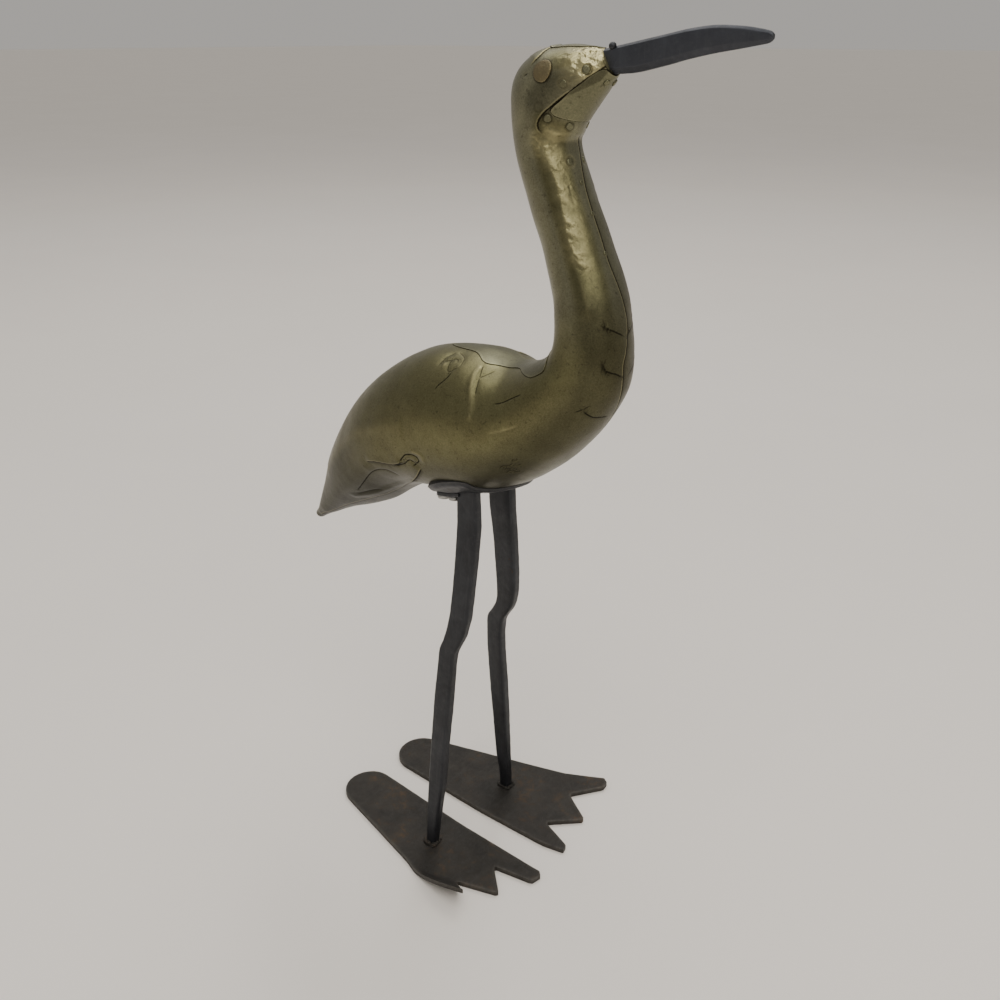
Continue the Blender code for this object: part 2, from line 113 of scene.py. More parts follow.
def round_corners(corners, radius, steps=3, along=2):
    """Replaces each corner of a ring by a small arc, and adds points along the sides."""
    corners = [np.asarray(corner, float) for corner in corners]
    ring = []
    for before, corner, after in zip(corners[-1:] + corners[:-1], corners, corners[1:] + corners[:1]):
        back, ahead = before - corner, after - corner
        reach_back, reach_ahead = [min(radius, np.linalg.norm(side) * 0.45) for side in (back, ahead)]
        start = corner + back / np.linalg.norm(back) * reach_back
        end = corner + ahead / np.linalg.norm(ahead) * reach_ahead
        for i in range(steps + 1):
            t = i / steps
            ring.append(start * (1 - t) ** 2 + corner * 2 * t * (1 - t) + end * t**2)
        far = after - ahead / np.linalg.norm(ahead) * reach_ahead
        for i in range(1, along + 1):
            ring.append(end + (far - end) * i / (along + 1))
    return ring


def grain(points, size, seed):
    """Smooth noise from -1 to 1 for each point, with lumps of about the given size."""
    offset = Vector((seed * 7.3, seed * 3.1, seed * 5.7))
    return np.array([noise.noise(Vector(point) / size + offset) for point in points])


# %% [markdown]
# ## The brass body's map
# The solids are drawn from eighteen sections, and so is this skin. A place along the sections and an angle
# from the back line name any point of the body, which makes every edge, rivet and crease easy to put down
# where it is on the real bird.

# %% Body map
SECTIONS = np.array([
    (-111.8, 158.9, -108.2, 155.1, 3.2, 0.50, 1.0),
    (-106.0, 166.6, -99.6, 160.1, 6.0, 0.48, 1.1),
    (-95.6, 186.2, -79.9, 170.2, 13.0, 0.48, 1.3),
    (-80.2, 216.1, -51.1, 183.1, 22.5, 0.49, 1.4),
    (-54.7, 248.0, -23.8, 200.7, 29.5, 0.54, 1.25),
    (-19.8, 270.5, 5.6, 206.9, 32.0, 0.50, 1.0),
    (11.9, 276.5, 32.4, 215.2, 32.0, 0.49, 1.0),
    (34.6, 273.6, 62.0, 236.0, 28.0, 0.45, 1.0),
    (54.6, 283.8, 86.0, 269.8, 20.5, 0.43, 1.0),
    (56.2, 301.5, 85.4, 304.6, 16.8, 0.49, 1.0),
    (50.6, 320.1, 75.8, 329.9, 14.3, 0.50, 1.0),
    (42.3, 339.9, 65.7, 350.1, 13.4, 0.50, 1.0),
    (35.0, 358.4, 60.0, 364.5, 13.0, 0.50, 1.0),
    (31.8, 374.5, 61.5, 369.0, 13.4, 0.50, 1.0),
    (33.0, 388.0, 63.9, 373.4, 13.7, 0.48, 1.0),
    (42.1, 396.7, 67.8, 378.5, 13.2, 0.48, 1.0),
    (56.8, 399.2, 72.0, 383.6, 10.6, 0.50, 1.0),
    (72.0, 398.0, 77.0, 389.6, 4.8, 0.50, 1.0),
])
FACE = len(SECTIONS) - 1
seam_y = (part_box("right_shell")[1].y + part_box("left_shell")[0].y) / 2
MIDDLE = np.array([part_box("right_shell")[0].x + 111.8 * MM, seam_y, 0.0])
PADDED = np.vstack([2 * SECTIONS[0] - SECTIONS[1], SECTIONS, 2 * SECTIONS[-1] - SECTIONS[-2]])
print("floor middle in mm", np.round(1000 * MIDDLE, 2))


def through(a, b, c, d, t):
    """A smooth step from b to c, with its neighbours a and d."""
    return 0.5 * (2 * b + (c - a) * t + (2 * a - 5 * b + 4 * c - d) * t**2 + (3 * b - a - 3 * c + d) * t**3)


def body_points(place, angle):
    """Points of the plain body, for arrays of places and of angles in radians."""
    place, angle = np.broadcast_arrays(np.clip(place, 0, FACE), angle)
    start = np.minimum(place.astype(int), FACE - 1)
    t = (place - start)[..., None]
    row = through(*[PADDED[start + i] for i in range(4)], t)
    top_x, top_z, low_x, low_z, half, share, tuck = np.moveaxis(row, -1, 0)
    across, along = np.sin(angle), np.cos(angle)
    mid_x, mid_z = top_x + (low_x - top_x) * share, top_z + (low_z - top_z) * share
    upper = along > 0
    x = mid_x + np.where(upper, top_x - mid_x, mid_x - low_x) * along
    z = mid_z + np.where(upper, top_z - mid_z, mid_z - low_z) * along
    y = half * np.sign(across) * np.abs(across) ** np.where(upper, 1, tuck)
    return np.stack([x, y, z], -1) * MM + MIDDLE


def unit(vectors):
    return vectors / (np.linalg.norm(vectors, axis=-1, keepdims=True) + 1e-12)


def body_frame(place, angle):
    """Points with their outward normals, and how they move ahead along the body and round it."""
    place, angle = np.broadcast_arrays(np.asarray(place, float), np.asarray(angle, float))
    step = 0.01
    ahead_place, behind_place = np.minimum(place + step, FACE), np.maximum(place - step, 0)
    ahead = (body_points(ahead_place, angle) - body_points(behind_place, angle))
    ahead = ahead / (ahead_place - behind_place)[..., None]
    around = (body_points(place, angle + step) - body_points(place, angle - step)) / (2 * step)
    points = body_points(place, angle)
    normal = unit(np.cross(ahead, around))
    core = (body_points(place, 0 * angle) + body_points(place, 0 * angle + np.pi)) / 2
    outward = np.sign(((points - core) * normal).sum(-1))
    return points, normal * np.where(outward == 0, 1, outward)[..., None], ahead, around


# %% [markdown]
# ## Lapped edges, creases and dents
# Sheet brass shows how it was worked: one sheet ends on top of the next with a cut edge, and each
# bend leaves a crease. Each of these is a line drawn on the body's map. A point near the line moves in or out
# by a profile of its distance, and the same distance tells the finish where the metal is rubbed or dirty.
# Beside a lap it also places painted shade below the step, and a thin bright line on the cut edge that is
# partly worn metal and partly painted highlight.

# %% Lines on the body
def smooth_line(points, steps=12):
    points = np.array(points, float)
    padded = np.vstack([2 * points[0] - points[1], points, 2 * points[-1] - points[-2]])
    t = np.arange(steps)[:, None] / steps
    pieces = [through(*four, t) for four in zip(padded, padded[1:], padded[2:], padded[3:])]
    return np.vstack(pieces + [points[-1:]])


def line_distance(skin, points, toward="belly", whole_turn=False, smooth=True):
    """Distance in mm of each skin point from a line, its side (+ is toward) and how far it is from both ends.
    The angles are of the skin's own side, or for a line that crosses the middle of a whole turn."""
    line = smooth_line(points) if smooth else np.array(points)
    turn = 1 if whole_turn else skin["side"]
    spots, normals, ahead, around = body_frame(line[:, 0], turn * np.radians(line[:, 1]))
    tangent = unit(np.gradient(spots, axis=0))
    across = np.cross(normals, tangent)
    wanted = {"belly": around * turn, "back": -around * turn, "head": ahead, "tail": -ahead,
              "outside": spots - spots.mean(0)}[toward]
    across *= np.sign((across * wanted).sum())
    arc = np.concatenate([[0], np.cumsum(np.linalg.norm(np.diff(spots, axis=0), axis=1))]) / MM
    count = len(skin["place"])
    distance, signed, start, end = [np.full(count, 99.0) for _ in range(4)]
    near = np.abs(skin["place"] - (line[:, 0].min() + line[:, 0].max()) / 2) < np.ptp(line[:, 0]) / 2 + 0.9
    index = np.flatnonzero(near)
    for chunk in np.array_split(index, max(1, len(index) // 4000)):
        gaps = skin["points"][chunk][:, None, :] - spots[None, :, :]
        lengths = np.linalg.norm(gaps, axis=-1)
        best = lengths.argmin(1)
        rows = np.arange(len(chunk))
        aside = (gaps[rows, best] * across[best]).sum(-1) / MM
        along = (gaps[rows, best] * tangent[best]).sum(-1) / MM
        beyond = ((best == 0) & (along < 0)) | ((best == len(spots) - 1) & (along > 0))
        distance[chunk] = np.where(beyond, lengths[rows, best] / MM, np.abs(aside))
        signed[chunk] = np.where(aside >= 0, 1, -1) * distance[chunk]
        start[chunk], end[chunk] = arc[best] + along, arc[-1] - arc[best] - along
    return distance, signed, start, end


def bump(distance, width):
    return np.exp(-((distance / width) ** 2))


def tapered(start, end, length, open_start=False):
    """Falls from one to nothing over the last stretch of a line, and over its first unless that is open."""
    first = 1.0 if open_start else (start / length).clip(0, 1)
    return first * (end / length).clip(0, 1)


def draw_line(skin, distance, signed, dark, bright):
    """Keeps the nearest line of each point for the finish, which draws it thinner than the grid could."""
    closer = distance < skin["near"]
    for word, value in (("near", distance), ("line", signed), ("line_dark", dark), ("edge_wear_and_highlight", bright)):
        skin[word] = np.where(closer, value, skin[word])


def lap(skin, points, toward, height, reach, dark=0.9, bright=0.6, open_start=False, whole_turn=False):
    """The edge of a sheet that lies over its neighbour: the side named by toward stands higher."""
    distance, signed, start, end = line_distance(skin, points, toward, whole_turn)
    share = tapered(start, end, 3.0, open_start)
    step = 1 / (1 + np.exp(-signed / 0.13))
    fade = np.where(signed > 0, np.exp(-((signed / reach) ** 2)), 1.0)
    skin["height"] += height * step * fade * share * (distance < 90)
    # Below the step the lower sheet darkens, partly with dirt and partly as painted shade under the edge; the
    # bright part of the line is partly worn metal and partly painted highlight.
    skin["grime"] += 0.35 * dark * bump(signed + 0.5, 0.9) * share
    draw_line(skin, distance, signed, dark * share, bright * share)


def crease(skin, points, width, height, worn=0.0, dark=0.0, hammer=0.0):
    """A soft ridge where the height is above zero, and a fold pressed in where it is below."""
    distance, signed, start, end = line_distance(skin, points)
    share = tapered(start, end, 1.5)
    shape = bump(distance, width) if height > 0 else np.exp(-distance / (width * 0.7))
    skin["height"] += height * shape * share
    skin["worn"] += worn * bump(distance, width * 0.6) * share
    skin["hammered"] += hammer * bump(distance, width * 2.0)
    if dark:
        draw_line(skin, distance, signed, dark * share, 0 * share)


def fold(skin, points, reach, height, worn=0.0):
    """Two flat slopes that meet in a ridge: the facets of beaten sheet."""
    distance, _, start, end = line_distance(skin, points)
    share = tapered(start, end, reach)
    skin["height"] += height * (1 - np.sqrt(distance**2 + 0.06) / reach).clip(0, 1) * share
    skin["worn"] += worn * bump(distance, 0.5) * share


def dent(skin, place, angle, radius, depth, worn=0.0, dirt_and_shade=0.0, gap=1.7):
    spot = body_points(np.array([place]), np.array([skin["side"] * math.radians(angle)]))[0]
    distance = np.linalg.norm(skin["points"] - spot, axis=-1) / MM
    skin["height"] -= depth * bump(distance, radius)
    skin["worn"] += worn * bump(distance - radius, radius * 0.35)
    skin["grime"] += dirt_and_shade * bump(distance - gap, 0.35)


# %% [markdown]
# ## Rows of the skin
# The head shows the finest work and the tail the broadest, so the rows of the grid lie closer together
# towards the head. The columns run from the back line to the belly line of one side.

# %% Start a skin
ROW_STEPS = ((0, 8, 1.05), (8, 13.4, 0.72), (13.4, FACE, 0.40))
COLUMNS = 168


def skin_rows():
    rows = [np.array([0.0])]
    for start, end, pitch in ROW_STEPS:
        fine = np.linspace(start, end, 400)
        flank = body_points(fine, np.full(400, np.pi / 2))
        length = np.concatenate([[0], np.cumsum(np.linalg.norm(np.diff(flank, axis=0), axis=1))]) / MM
        count = int(length[-1] / pitch)
        rows.append(np.interp(np.linspace(0, length[-1], count + 1)[1:], length, fine))
    return np.concatenate(rows)


def start_skin(side):
    rows = skin_rows()
    turns = np.linspace(0, np.pi, COLUMNS + 1)
    place, angle = [grid.ravel() for grid in np.meshgrid(rows, side * turns, indexing="ij")]
    points, normals, _, _ = body_frame(place, angle)
    zero, far = np.zeros(len(place)), np.full(len(place), 9.0)
    print("rows", len(rows), "columns", COLUMNS, "triangles", 2 * len(rows) * (COLUMNS + 1))
    return {
        "side": side, "rows": len(rows), "place": place, "angle": np.degrees(np.abs(angle)),
        "points": points, "normals": normals, "height": zero.copy(), "worn": zero.copy(),
        "grime": zero.copy(), "hammered": zero.copy(), "near": far.copy(), "line": far.copy(),
        "line_dark": zero.copy(), "edge_wear_and_highlight": zero.copy(), "tone": zero + 1, "grey_tint_and_shade": zero.copy(),
    }


right_skin = start_skin(-1)
left_skin = start_skin(1)

# %% [markdown]
# ## Head, neck and breast
# The nape sheet laps over the cheek behind the eye, and the cheek sheet ends in a lip over the throat.
# A collar with a rounded hook lies below it. The bright patches on the cheek and down the neck are where the
# hammer left small facets, so they only need a mask here and get their marks from the finish. Each list holds
# a place along the body and an angle from the back line, and both sides are worked alike.

# %% Head, neck and breast
FRONT_SEAM = [
    (13.0, 175), (12.5, 174), (11.8, 171), (11.2, 180), (10.5, 187), (9.95, 187), (9.65, 186), (9.33, 181),
    (9.03, 176), (8.83, 174), (8.53, 180), (8.4, 185), (8.25, 184), (8.03, 180), (7.85, 175), (7.6, 169),
    (7.45, 168)]
NECK_RIDGE = [
    (12.6, 99), (12.48, 102), (11.95, 115), (11.53, 123), (11.2, 126), (10.9, 125), (10.48, 120),
    (10.05, 116), (9.65, 117), (9.28, 120), (8.95, 124)]
CRINKLES = [  # place, angle where it starts, degrees round the neck
    (12.42, 104, 34), (12.12, 111, 30), (11.83, 117, 27), (11.52, 122, 22), (11.15, 125, 20),
    (10.85, 123, 22), (10.52, 119, 24), (10.28, 116, 24), (10.05, 115, 25), (9.8, 117, 20)]
CHEEK_LIP = [
    (17.0, 108), (16.7, 115), (16.18, 122), (15.43, 125), (14.78, 123.5), (14.25, 120), (13.83, 115),
    (13.33, 109.5), (13.08, 109.5), (12.9, 114), (12.86, 119)]
PLEATS = [  # line, height, dark
    ([(8.9, 136), (8.84, 148), (8.8, 157), (8.75, 168), (8.7, 178)], 0.14, 0.8),
    ([(8.47, 139), (8.36, 146), (8.33, 152), (8.3, 163), (8.24, 176)], 0.14, 0.8),
    ([(7.82, 135), (7.78, 143), (7.75, 154), (7.75, 166), (7.74, 177)], 0.12, 0.85)]
BREAST_MARKS = [  # line, width, height, worn, dark
    ([(8.97, 143), (8.85, 147), (8.76, 150)], 0.6, -0.25, 0, 0.5),
    ([(8.93, 150), (8.85, 146), (8.8, 141)], 0.6, -0.2, 0, 0.4),
    ([(8.5, 147), (8.4, 143), (8.3, 141)], 0.6, -0.25, 0, 0.5),
    ([(8.28, 148), (8.38, 145), (8.46, 142)], 0.6, -0.2, 0, 0.4),
    ([(7.75, 129), (7.8, 134), (7.9, 142)], 0.8, -0.2, 0, 0.7)]
EYE = (15.16, 75.5)


def shape_head(skin, detail):
    lap(skin, [(15.55, 20), (15.45, 31), (15.3, 44), (15.1, 52), (14.88, 56.5)], "tail", 0.5, 9, 0.7, 1.1, True)
    lap(skin, CHEEK_LIP, "back", 0.6, 9, 0.9, 0.2, True)
    crease(skin, [(16.9, 34), (16.4, 46), (16.2, 62), (16.1, 80)], 2.4, 0.3, worn=0.3, hammer=0.7)
    crease(skin, [(16.9, 46), (16.68, 64), (16.62, 84)], 2.2, -0.25, worn=0.7, hammer=1.5)
    dent(skin, 16.46, 99.5, 2.6, 0.5, worn=0.9, dirt_and_shade=0.8)
    dent(skin, 15.43, 109, 1.8, 0.2, worn=0.12, dirt_and_shade=0.25)
    dent(skin, 13.95, 106, 2.0, 0.1, dirt_and_shade=0.3)
    dent(skin, 13.62, 121, 1.9, 0.2, dirt_and_shade=0.5)
    dent(skin, 13.5, 155, 1.9, 0.2, dirt_and_shade=0.45)
    dent(skin, 14.45, 96, 6.0, 0.4)
    dent(skin, *EYE, 3.9, 0.0, dirt_and_shade=0.8, gap=4.2)
    if detail:
        crease(skin, [(14.48, 60), (14.58, 62), (14.7, 64)], 0.6, -0.5, dark=1.0)


def shape_neck(skin, detail):
    lap(skin, FRONT_SEAM, "tail", 0.0, 4, 0.8, 0.3, whole_turn=True)
    fold(skin, NECK_RIDGE, 4.5, 0.62, worn=0.15)
    for i, (place, angle, length) in enumerate(CRINKLES):
        bend = 0.1 if i % 2 else 0.2
        path = [(place, angle), (place - bend, angle + length * 0.4), (place - 0.16, angle + length * 0.8)]
        crease(skin, path, 1.3, -0.08 if i % 3 else -0.16, dark=0.06)
        crease(skin, [(s + 0.1, a + 1) for s, a in path], 1.3, 0.07, worn=0.15, hammer=0.3)
    dent(skin, 11.58, 160, 2.0, 0.2, worn=0.3, dirt_and_shade=0.5)
    if detail:
        crease(skin, [(13.1, 122), (12.95, 136), (12.9, 148)], 1.2, 0.25, worn=0.4, hammer=0.4)


def shape_breast(skin):
    for line, height, dark in PLEATS:
        lap(skin, line, "head", height, 1.6, dark, 0.0)
    for mark in BREAST_MARKS:
        crease(skin, *mark)


for skin, detail in ((right_skin, True), (left_skin, False)):
    shape_head(skin, detail)
    shape_neck(skin, detail)
    shape_breast(skin)

def relief_range(skin):
    return skin["height"].min().round(2), skin["height"].max().round(2)


print("deepest and highest relief in mm", relief_range(right_skin))

# %% [markdown]
# ## Back, flank and tail
# The flank is one broad sheet with a fold behind the neck. The tail is pressed from facets, and each long
# ridge between them is a fold with two flat slopes. A crumpled loop lies where the tail's fold ends, and a
# few short strokes mark the belly. These small marks are on the right side alone.

# %% Back, flank and tail
BACK_MARKS = [  # line, width, height, worn, dark
    ([(6.5, 38), (6.62, 31), (6.72, 24)], 0.8, -0.35, 0, 0.6),
    ([(5.6, 34), (5.64, 24), (5.74, 16)], 0.9, -0.4, 0, 0.6),
    ([(5.78, 15), (5.98, 22), (6.02, 32)], 0.8, -0.35, 0.3, 0.6),
    ([(5.98, 33), (5.84, 38), (5.78, 30), (5.8, 22)], 0.6, -0.3, 0, 0.7),
    ([(5.66, 30), (5.74, 26), (5.86, 24), (5.93, 28)], 0.6, -0.3, 0, 0.6),
    ([(5.72, 36), (5.68, 28)], 0.9, 0.2, 0.5, 0),
    ([(5.69, 55), (5.74, 51), (5.85, 45), (5.92, 38)], 0.5, -0.2, 0, 1.0),
    ([(6.93, 65), (7.1, 67), (7.28, 67), (7.45, 68.5)], 0.6, -0.35, 0, 0.9)]
BELLY_STROKES = [  # place, angle, length along the map
    (6.46, 129, 0.26), (6.5, 133, 0.16), (6.47, 137, 0.22), (6.7, 134.5, 0.1), (6.55, 141, 0.12),
    (6.72, 127, 0.1)]
TAIL_EDGE = [
    (0.5, 122), (1.12, 127), (1.8, 137), (2.5, 137), (3.1, 142), (3.42, 150), (3.75, 153), (4.2, 144),
    (4.65, 131), (5.0, 119)]
TAIL_MARKS = [  # line, width, height, worn, dark
    ([(4.64, 110), (4.84, 105), (5.02, 107), (5.04, 112), (4.86, 116)], 0.8, -0.5, 0, 1.0),
    ([(4.5, 114), (4.7, 113), (4.86, 110), (4.95, 114)], 0.8, -0.45, 0, 0.9),
    ([(4.98, 102), (5.16, 107), (5.12, 114)], 0.9, 0.3, 0.25, 0),
    ([(3.1, 120), (3.48, 117), (3.85, 114), (4.17, 117), (4.3, 128)], 0.7, -0.35, 0, 0.9),
    ([(3.0, 124), (3.3, 131), (3.5, 139)], 0.7, -0.25, 0, 0.6)]


def shape_flank(skin, detail):
    fold(skin, [(6.4, 24), (6.38, 35), (6.4, 48), (6.45, 59), (6.46, 72), (6.4, 80)], 2.0, 0.5, worn=0.45)
    crease(skin, [(6.43, 23), (6.5, 36), (6.53, 48), (6.54, 56)], 0.8, -0.35, dark=0.7)
    if detail:
        for mark in BACK_MARKS:
            crease(skin, *mark)
        for start, angle, length in BELLY_STROKES:
            path = [(start, angle), (start + length * 0.35, angle - 1.6), (start + length * 0.7, angle + 1),
                    (start + length, angle - 0.8)]
            crease(skin, path, 0.5, -0.2, worn=0.15, dark=0.8)
        crease(skin, [(6.7, 94), (6.95, 96), (7.18, 99)], 0.8, -0.15, worn=0.3)


def shape_tail(skin, detail):
    fold(skin, [(3.98, 103), (3.48, 108), (2.78, 109), (2.02, 112), (1.4, 119), (1.0, 128)], 6, 0.7)
    lap(skin, [(3.93, 101), (4.1, 104), (4.45, 112), (4.7, 111)], "back", 0.45, 3, 1.4, 0.2)
    fold(skin, [(2.78, 122), (3.2, 134), (3.6, 143), (4.05, 144), (4.55, 137)], 3.0, 0.5)
    lap(skin, TAIL_EDGE, "back", 0.45, 5, 1.3, 0.3)
    crease(skin, [(2.6, 60), (3.4, 66), (4.3, 76), (5.0, 84)], 5.0, 0.4, worn=0.1)
    if detail:
        for mark in TAIL_MARKS:
            crease(skin, *mark)


def between(values, none, full):
    """Rises softly from none to full."""
    share = ((values - none) / (full - none)).clip(0, 1)
    return share * share * (3 - 2 * share)


def tone_and_painted_shade(skin):
    """Tone and greying by region, much of it painted light. The belly is darker and greyer as painted shade,
    and the neck and head are greyer as a painted reflection of a grey room, except on the lit strip of the neck
    and a lit band on the head, whose colour is darker and less grey because the lamp lights them. The tail is
    darker and greyer, the cheek darker, the top of the back and the neck a little lighter, and the nape paler.
    """
    place, angle = skin["place"], skin["angle"]
    # The belly is painted darker and greyer as shade.
    painted_belly_shade = between(angle, 92, 128) * between(place, 9.6, 8.4)
    tail = between(place, 5.0, 3.0) * between(angle, 40, 80)
    top = between(angle, 55, 20) * between(place, 7.6, 6.6)
    nape = between(place, 12.4, 13.6) * between(angle, 96, 66)
    neck = between(place, 8.2, 9.6) * between(place, 14.2, 13.4)
    # The lit strip of the neck and a band on the head are painted darker and less grey because the lamp lights
    # them.
    painted_lit_strip = np.maximum(neck * between(angle, 95, 112) * between(angle, 165, 150),
                     between(place, 15.2, 15.9) * between(angle, 88, 78))
    cheek = between(place, 13.2, 14.2) * between(angle, 70, 95)
    skin["tone"] *= 1 - 0.22 * cheek
    skin["tone"] *= (1 - 0.5 * painted_belly_shade) * (1 - 0.66 * tail) * (1 + 0.15 * top)
    skin["tone"] *= (1 + 0.9 * nape + 0.15 * neck) * (1 - 0.42 * painted_lit_strip)
    skin["grey_tint_and_shade"] += np.maximum(0.8 * between(place, 8.0, 9.4) * (1 - 0.85 * painted_lit_strip), 0.3 * painted_belly_shade + 0.35 * tail)


for skin, detail in ((right_skin, True), (left_skin, False)):
    tone_and_painted_shade(skin)
    shape_flank(skin, detail)
    shape_tail(skin, detail)
    broad = grain(skin["points"], 0.016, 3)
    fine = grain(skin["points"], 0.0055, 8)
    skin["height"] += 0.28 * broad + 0.09 * fine * (0.5 + skin["hammered"].clip(0, 1.2))
print("relief with the broad and fine lumps in mm", relief_range(right_skin))


# %% [markdown]
# ## Plate outlines
# Three plates lie over the skin: one closes the crown, one the throat, and one patches the back where the neck
# leaves it. Dirt gathers along their edges, so their outlines are drawn on the skins before those are closed.
# The corners are eased first, as snips and a file leave them.

# %% Plate outlines
def ease(outline, rounds=2, keep=0.18):
    """Cuts the corners of a closed outline again and again."""
    for _ in range(rounds):
        eased = []
        for (x, y), (u, v) in zip(outline, outline[1:] + outline[:1]):
            eased += [(x + (u - x) * keep, y + (v - y) * keep), (u + (x - u) * keep, v + (y - v) * keep)]
        outline = eased
    return outline


def mirrored(edge, middle):
    return edge + [(place, 2 * middle - angle) for place, angle in reversed(edge) if angle != middle]


CROWN = ease(mirrored([(16.98, 0), (16.98, 10), (16.4, 24), (15.95, 23), (15.52, 19), (15.4, 0)], 0))
THROAT = ease(mirrored(
    [(16.98, 180), (16.98, 112), (16.2, 121), (14.9, 127), (14.05, 121), (13.9, 129), (13.96, 150),
     (14.05, 180)], 180))
BACK = ease(mirrored(
    [(5.4, 0), (5.6, 7), (6.1, 11), (6.4, 21), (6.75, 14), (7.2, 14), (7.5, 40), (7.65, 53), (8, 63),
     (8.3, 0)], 0))

for outline, dark in ((CROWN, 0.9), (THROAT, 1.2), (BACK, 0.8)):
    closed = outline + outline[:1]
    points = [(a + (b - a) * t / 8, c + (d - c) * t / 8)
              for (a, c), (b, d) in zip(closed, closed[1:]) for t in range(8)]
    for skin in (right_skin, left_skin):
        distance, signed, _, _ = line_distance(skin, points, "outside", whole_turn=True, smooth=False)
        draw_line(skin, distance, signed, dark, 0.0)
print("plates outlined")


def relief_at(place, angle):
    """The relief in mm of the skins at places and angles in degrees of a whole turn."""
    turned = (np.asarray(angle) + 180) % 360 - 180
    row = np.interp(place, right_skin["place"][::COLUMNS + 1], np.arange(right_skin["rows"]))
    column = np.abs(turned) / 180 * COLUMNS
    i = np.minimum(row.astype(int), right_skin["rows"] - 2)
    j = np.minimum(column.astype(int), COLUMNS - 1)
    u, v = row - i, column - j
    grids = [skin["height"].reshape(skin["rows"], COLUMNS + 1) for skin in (right_skin, left_skin)]
    right, left = [np.stack([g[i, j], g[i + 1, j], g[i, j + 1], g[i + 1, j + 1]]) for g in grids]
    grid = np.where((turned < 0)[None], right, left)
    return grid[0] * (1 - u) * (1 - v) + grid[1] * u * (1 - v) + grid[2] * (1 - u) * v + grid[3] * u * v


# %% [markdown]
# ## Close each brass half
# A half skin is closed by a flat wall on the seam, because a sealed hollow thing can be solid inside. The
# seam wanders down the neck's front as a thin dark line, because the sheets were cut by hand.

# %% Brass halves
SEAM_HALF_GAP = 0.01


def skin_mesh(name, skin):
    side, rows, columns = skin["side"], skin["rows"], COLUMNS + 1
    lift = skin["height"] * MM
    points = skin["points"] + skin["normals"] * lift[:, None]
    edge = seam_y + side * SEAM_HALF_GAP * MM
    points[:, 1] = np.maximum(points[:, 1], edge) if side > 0 else np.minimum(points[:, 1], edge)
    grid = points.reshape(rows, columns, 3)
    grid[:, 0, 1] = edge
    grid[:, -1, 1] = edge
    index = np.arange(rows * columns).reshape(rows, columns)
    a, b, c, d = index[:-1, :-1].ravel(), index[:-1, 1:].ravel(), index[1:, 1:].ravel(), index[1:, :-1].ravel()
    faces = np.stack([a, b, c, d], 1)
    wall = np.stack([index[:-1, -1], index[:-1, 0], index[1:, 0], index[1:, -1]], 1)
    faces = np.vstack([faces, wall]).tolist() + [index[0].tolist(), index[-1][::-1].tolist()]
    mesh = bpy.data.meshes.new(name)
    mesh.from_pydata(grid.reshape(-1, 3).tolist(), [], faces)
    edit = bmesh.new()
    edit.from_mesh(mesh)
    bmesh.ops.recalc_face_normals(edit, faces=edit.faces)
    edit.to_mesh(mesh)
    edit.free()
    mesh.shade_smooth()
    mesh.set_sharp_from_angle(angle=math.radians(60))
    for word in ("worn", "grime", "hammered", "line_dark", "edge_wear_and_highlight", "tone", "grey_tint_and_shade", "line", "near"):
        limits = (-9, 9) if word in ("line", "near") else (0, 1.5)
        layer = mesh.attributes.new(word, "FLOAT", "POINT")
        layer.data.foreach_set("value", skin[word].clip(*limits).astype(np.float32))
    return mesh


right_mesh = skin_mesh("right_brass", right_skin)
left_mesh = skin_mesh("left_brass", left_skin)
print("faces of the right half", len(right_mesh.polygons))

# %% [markdown]
# ## Shader helpers
# A finish is a net of nodes. These small helpers add a node with its settings and inputs in one line, so the
# cells below read like recipes. The last two start a metal and join its colour, gloss and relief to it.

# %% Node helpers
def put(tree, kind, inputs=(), **settings):
    """Adds a node, with its settings first. An input is a value or the output of another node."""
    made = tree.nodes.new(kind)
    for key, value in settings.items():
        setattr(made, key, value)
    for key, value in dict(inputs).items():
        if isinstance(value, bpy.types.NodeSocket):
            tree.links.new(value, made.inputs[key])
        else:
            made.inputs[key].default_value = value
    return made


def mix(tree, factor, a, b, mode="MIX"):
    return put(tree, "ShaderNodeMix", {0: factor, 6: a, 7: b}, data_type="RGBA", blend_type=mode).outputs[2]


def maths(tree, operation, *values):
    return put(tree, "ShaderNodeMath", dict(enumerate(values)), operation=operation).outputs[0]


def times(tree, *values):
    return maths(tree, "MULTIPLY", *values)


def plus(tree, *values):
    return maths(tree, "ADD", *values)


def clamp(tree, value):
    return put(tree, "ShaderNodeClamp", {"Value": value}).outputs[0]


def mark(tree, word):
    """A mark that the mesh carries on its points."""
    return put(tree, "ShaderNodeAttribute", attribute_name=word).outputs["Fac"]


def span(tree, value, low, high, out_low=0.0, out_high=1.0):
    """Moves a value from one range to another."""
    ends = {"Value": value, "From Min": low, "From Max": high, "To Min": out_low, "To Max": out_high}
    return put(tree, "ShaderNodeMapRange", ends).outputs[0]


def new_group(name, inputs, outputs, kind="ShaderNodeTree"):
    """A node group with its sockets, from (word, socket kind, value) and (word, socket kind)."""
    tree = bpy.data.node_groups.new(name, kind)
    for word, socket_kind, value in inputs:
        socket = tree.interface.new_socket(word, in_out="INPUT", socket_type=socket_kind)
        if value is not None:
            socket.default_value = value
    for word, socket_kind in outputs:
        tree.interface.new_socket(word, in_out="OUTPUT", socket_type=socket_kind)
    return tree, tree.nodes.new("NodeGroupInput").outputs, tree.nodes.new("NodeGroupOutput").inputs


def use_group(tree, group, inputs):
    return put(tree, "ShaderNodeGroup", inputs, node_tree=group).outputs


def start_metal(name, metallic):
    finish = bpy.data.materials.new(name)
    finish.use_nodes = True
    finish.node_tree.nodes["Principled BSDF"].inputs["Metallic"].default_value = metallic
    return finish, finish.node_tree


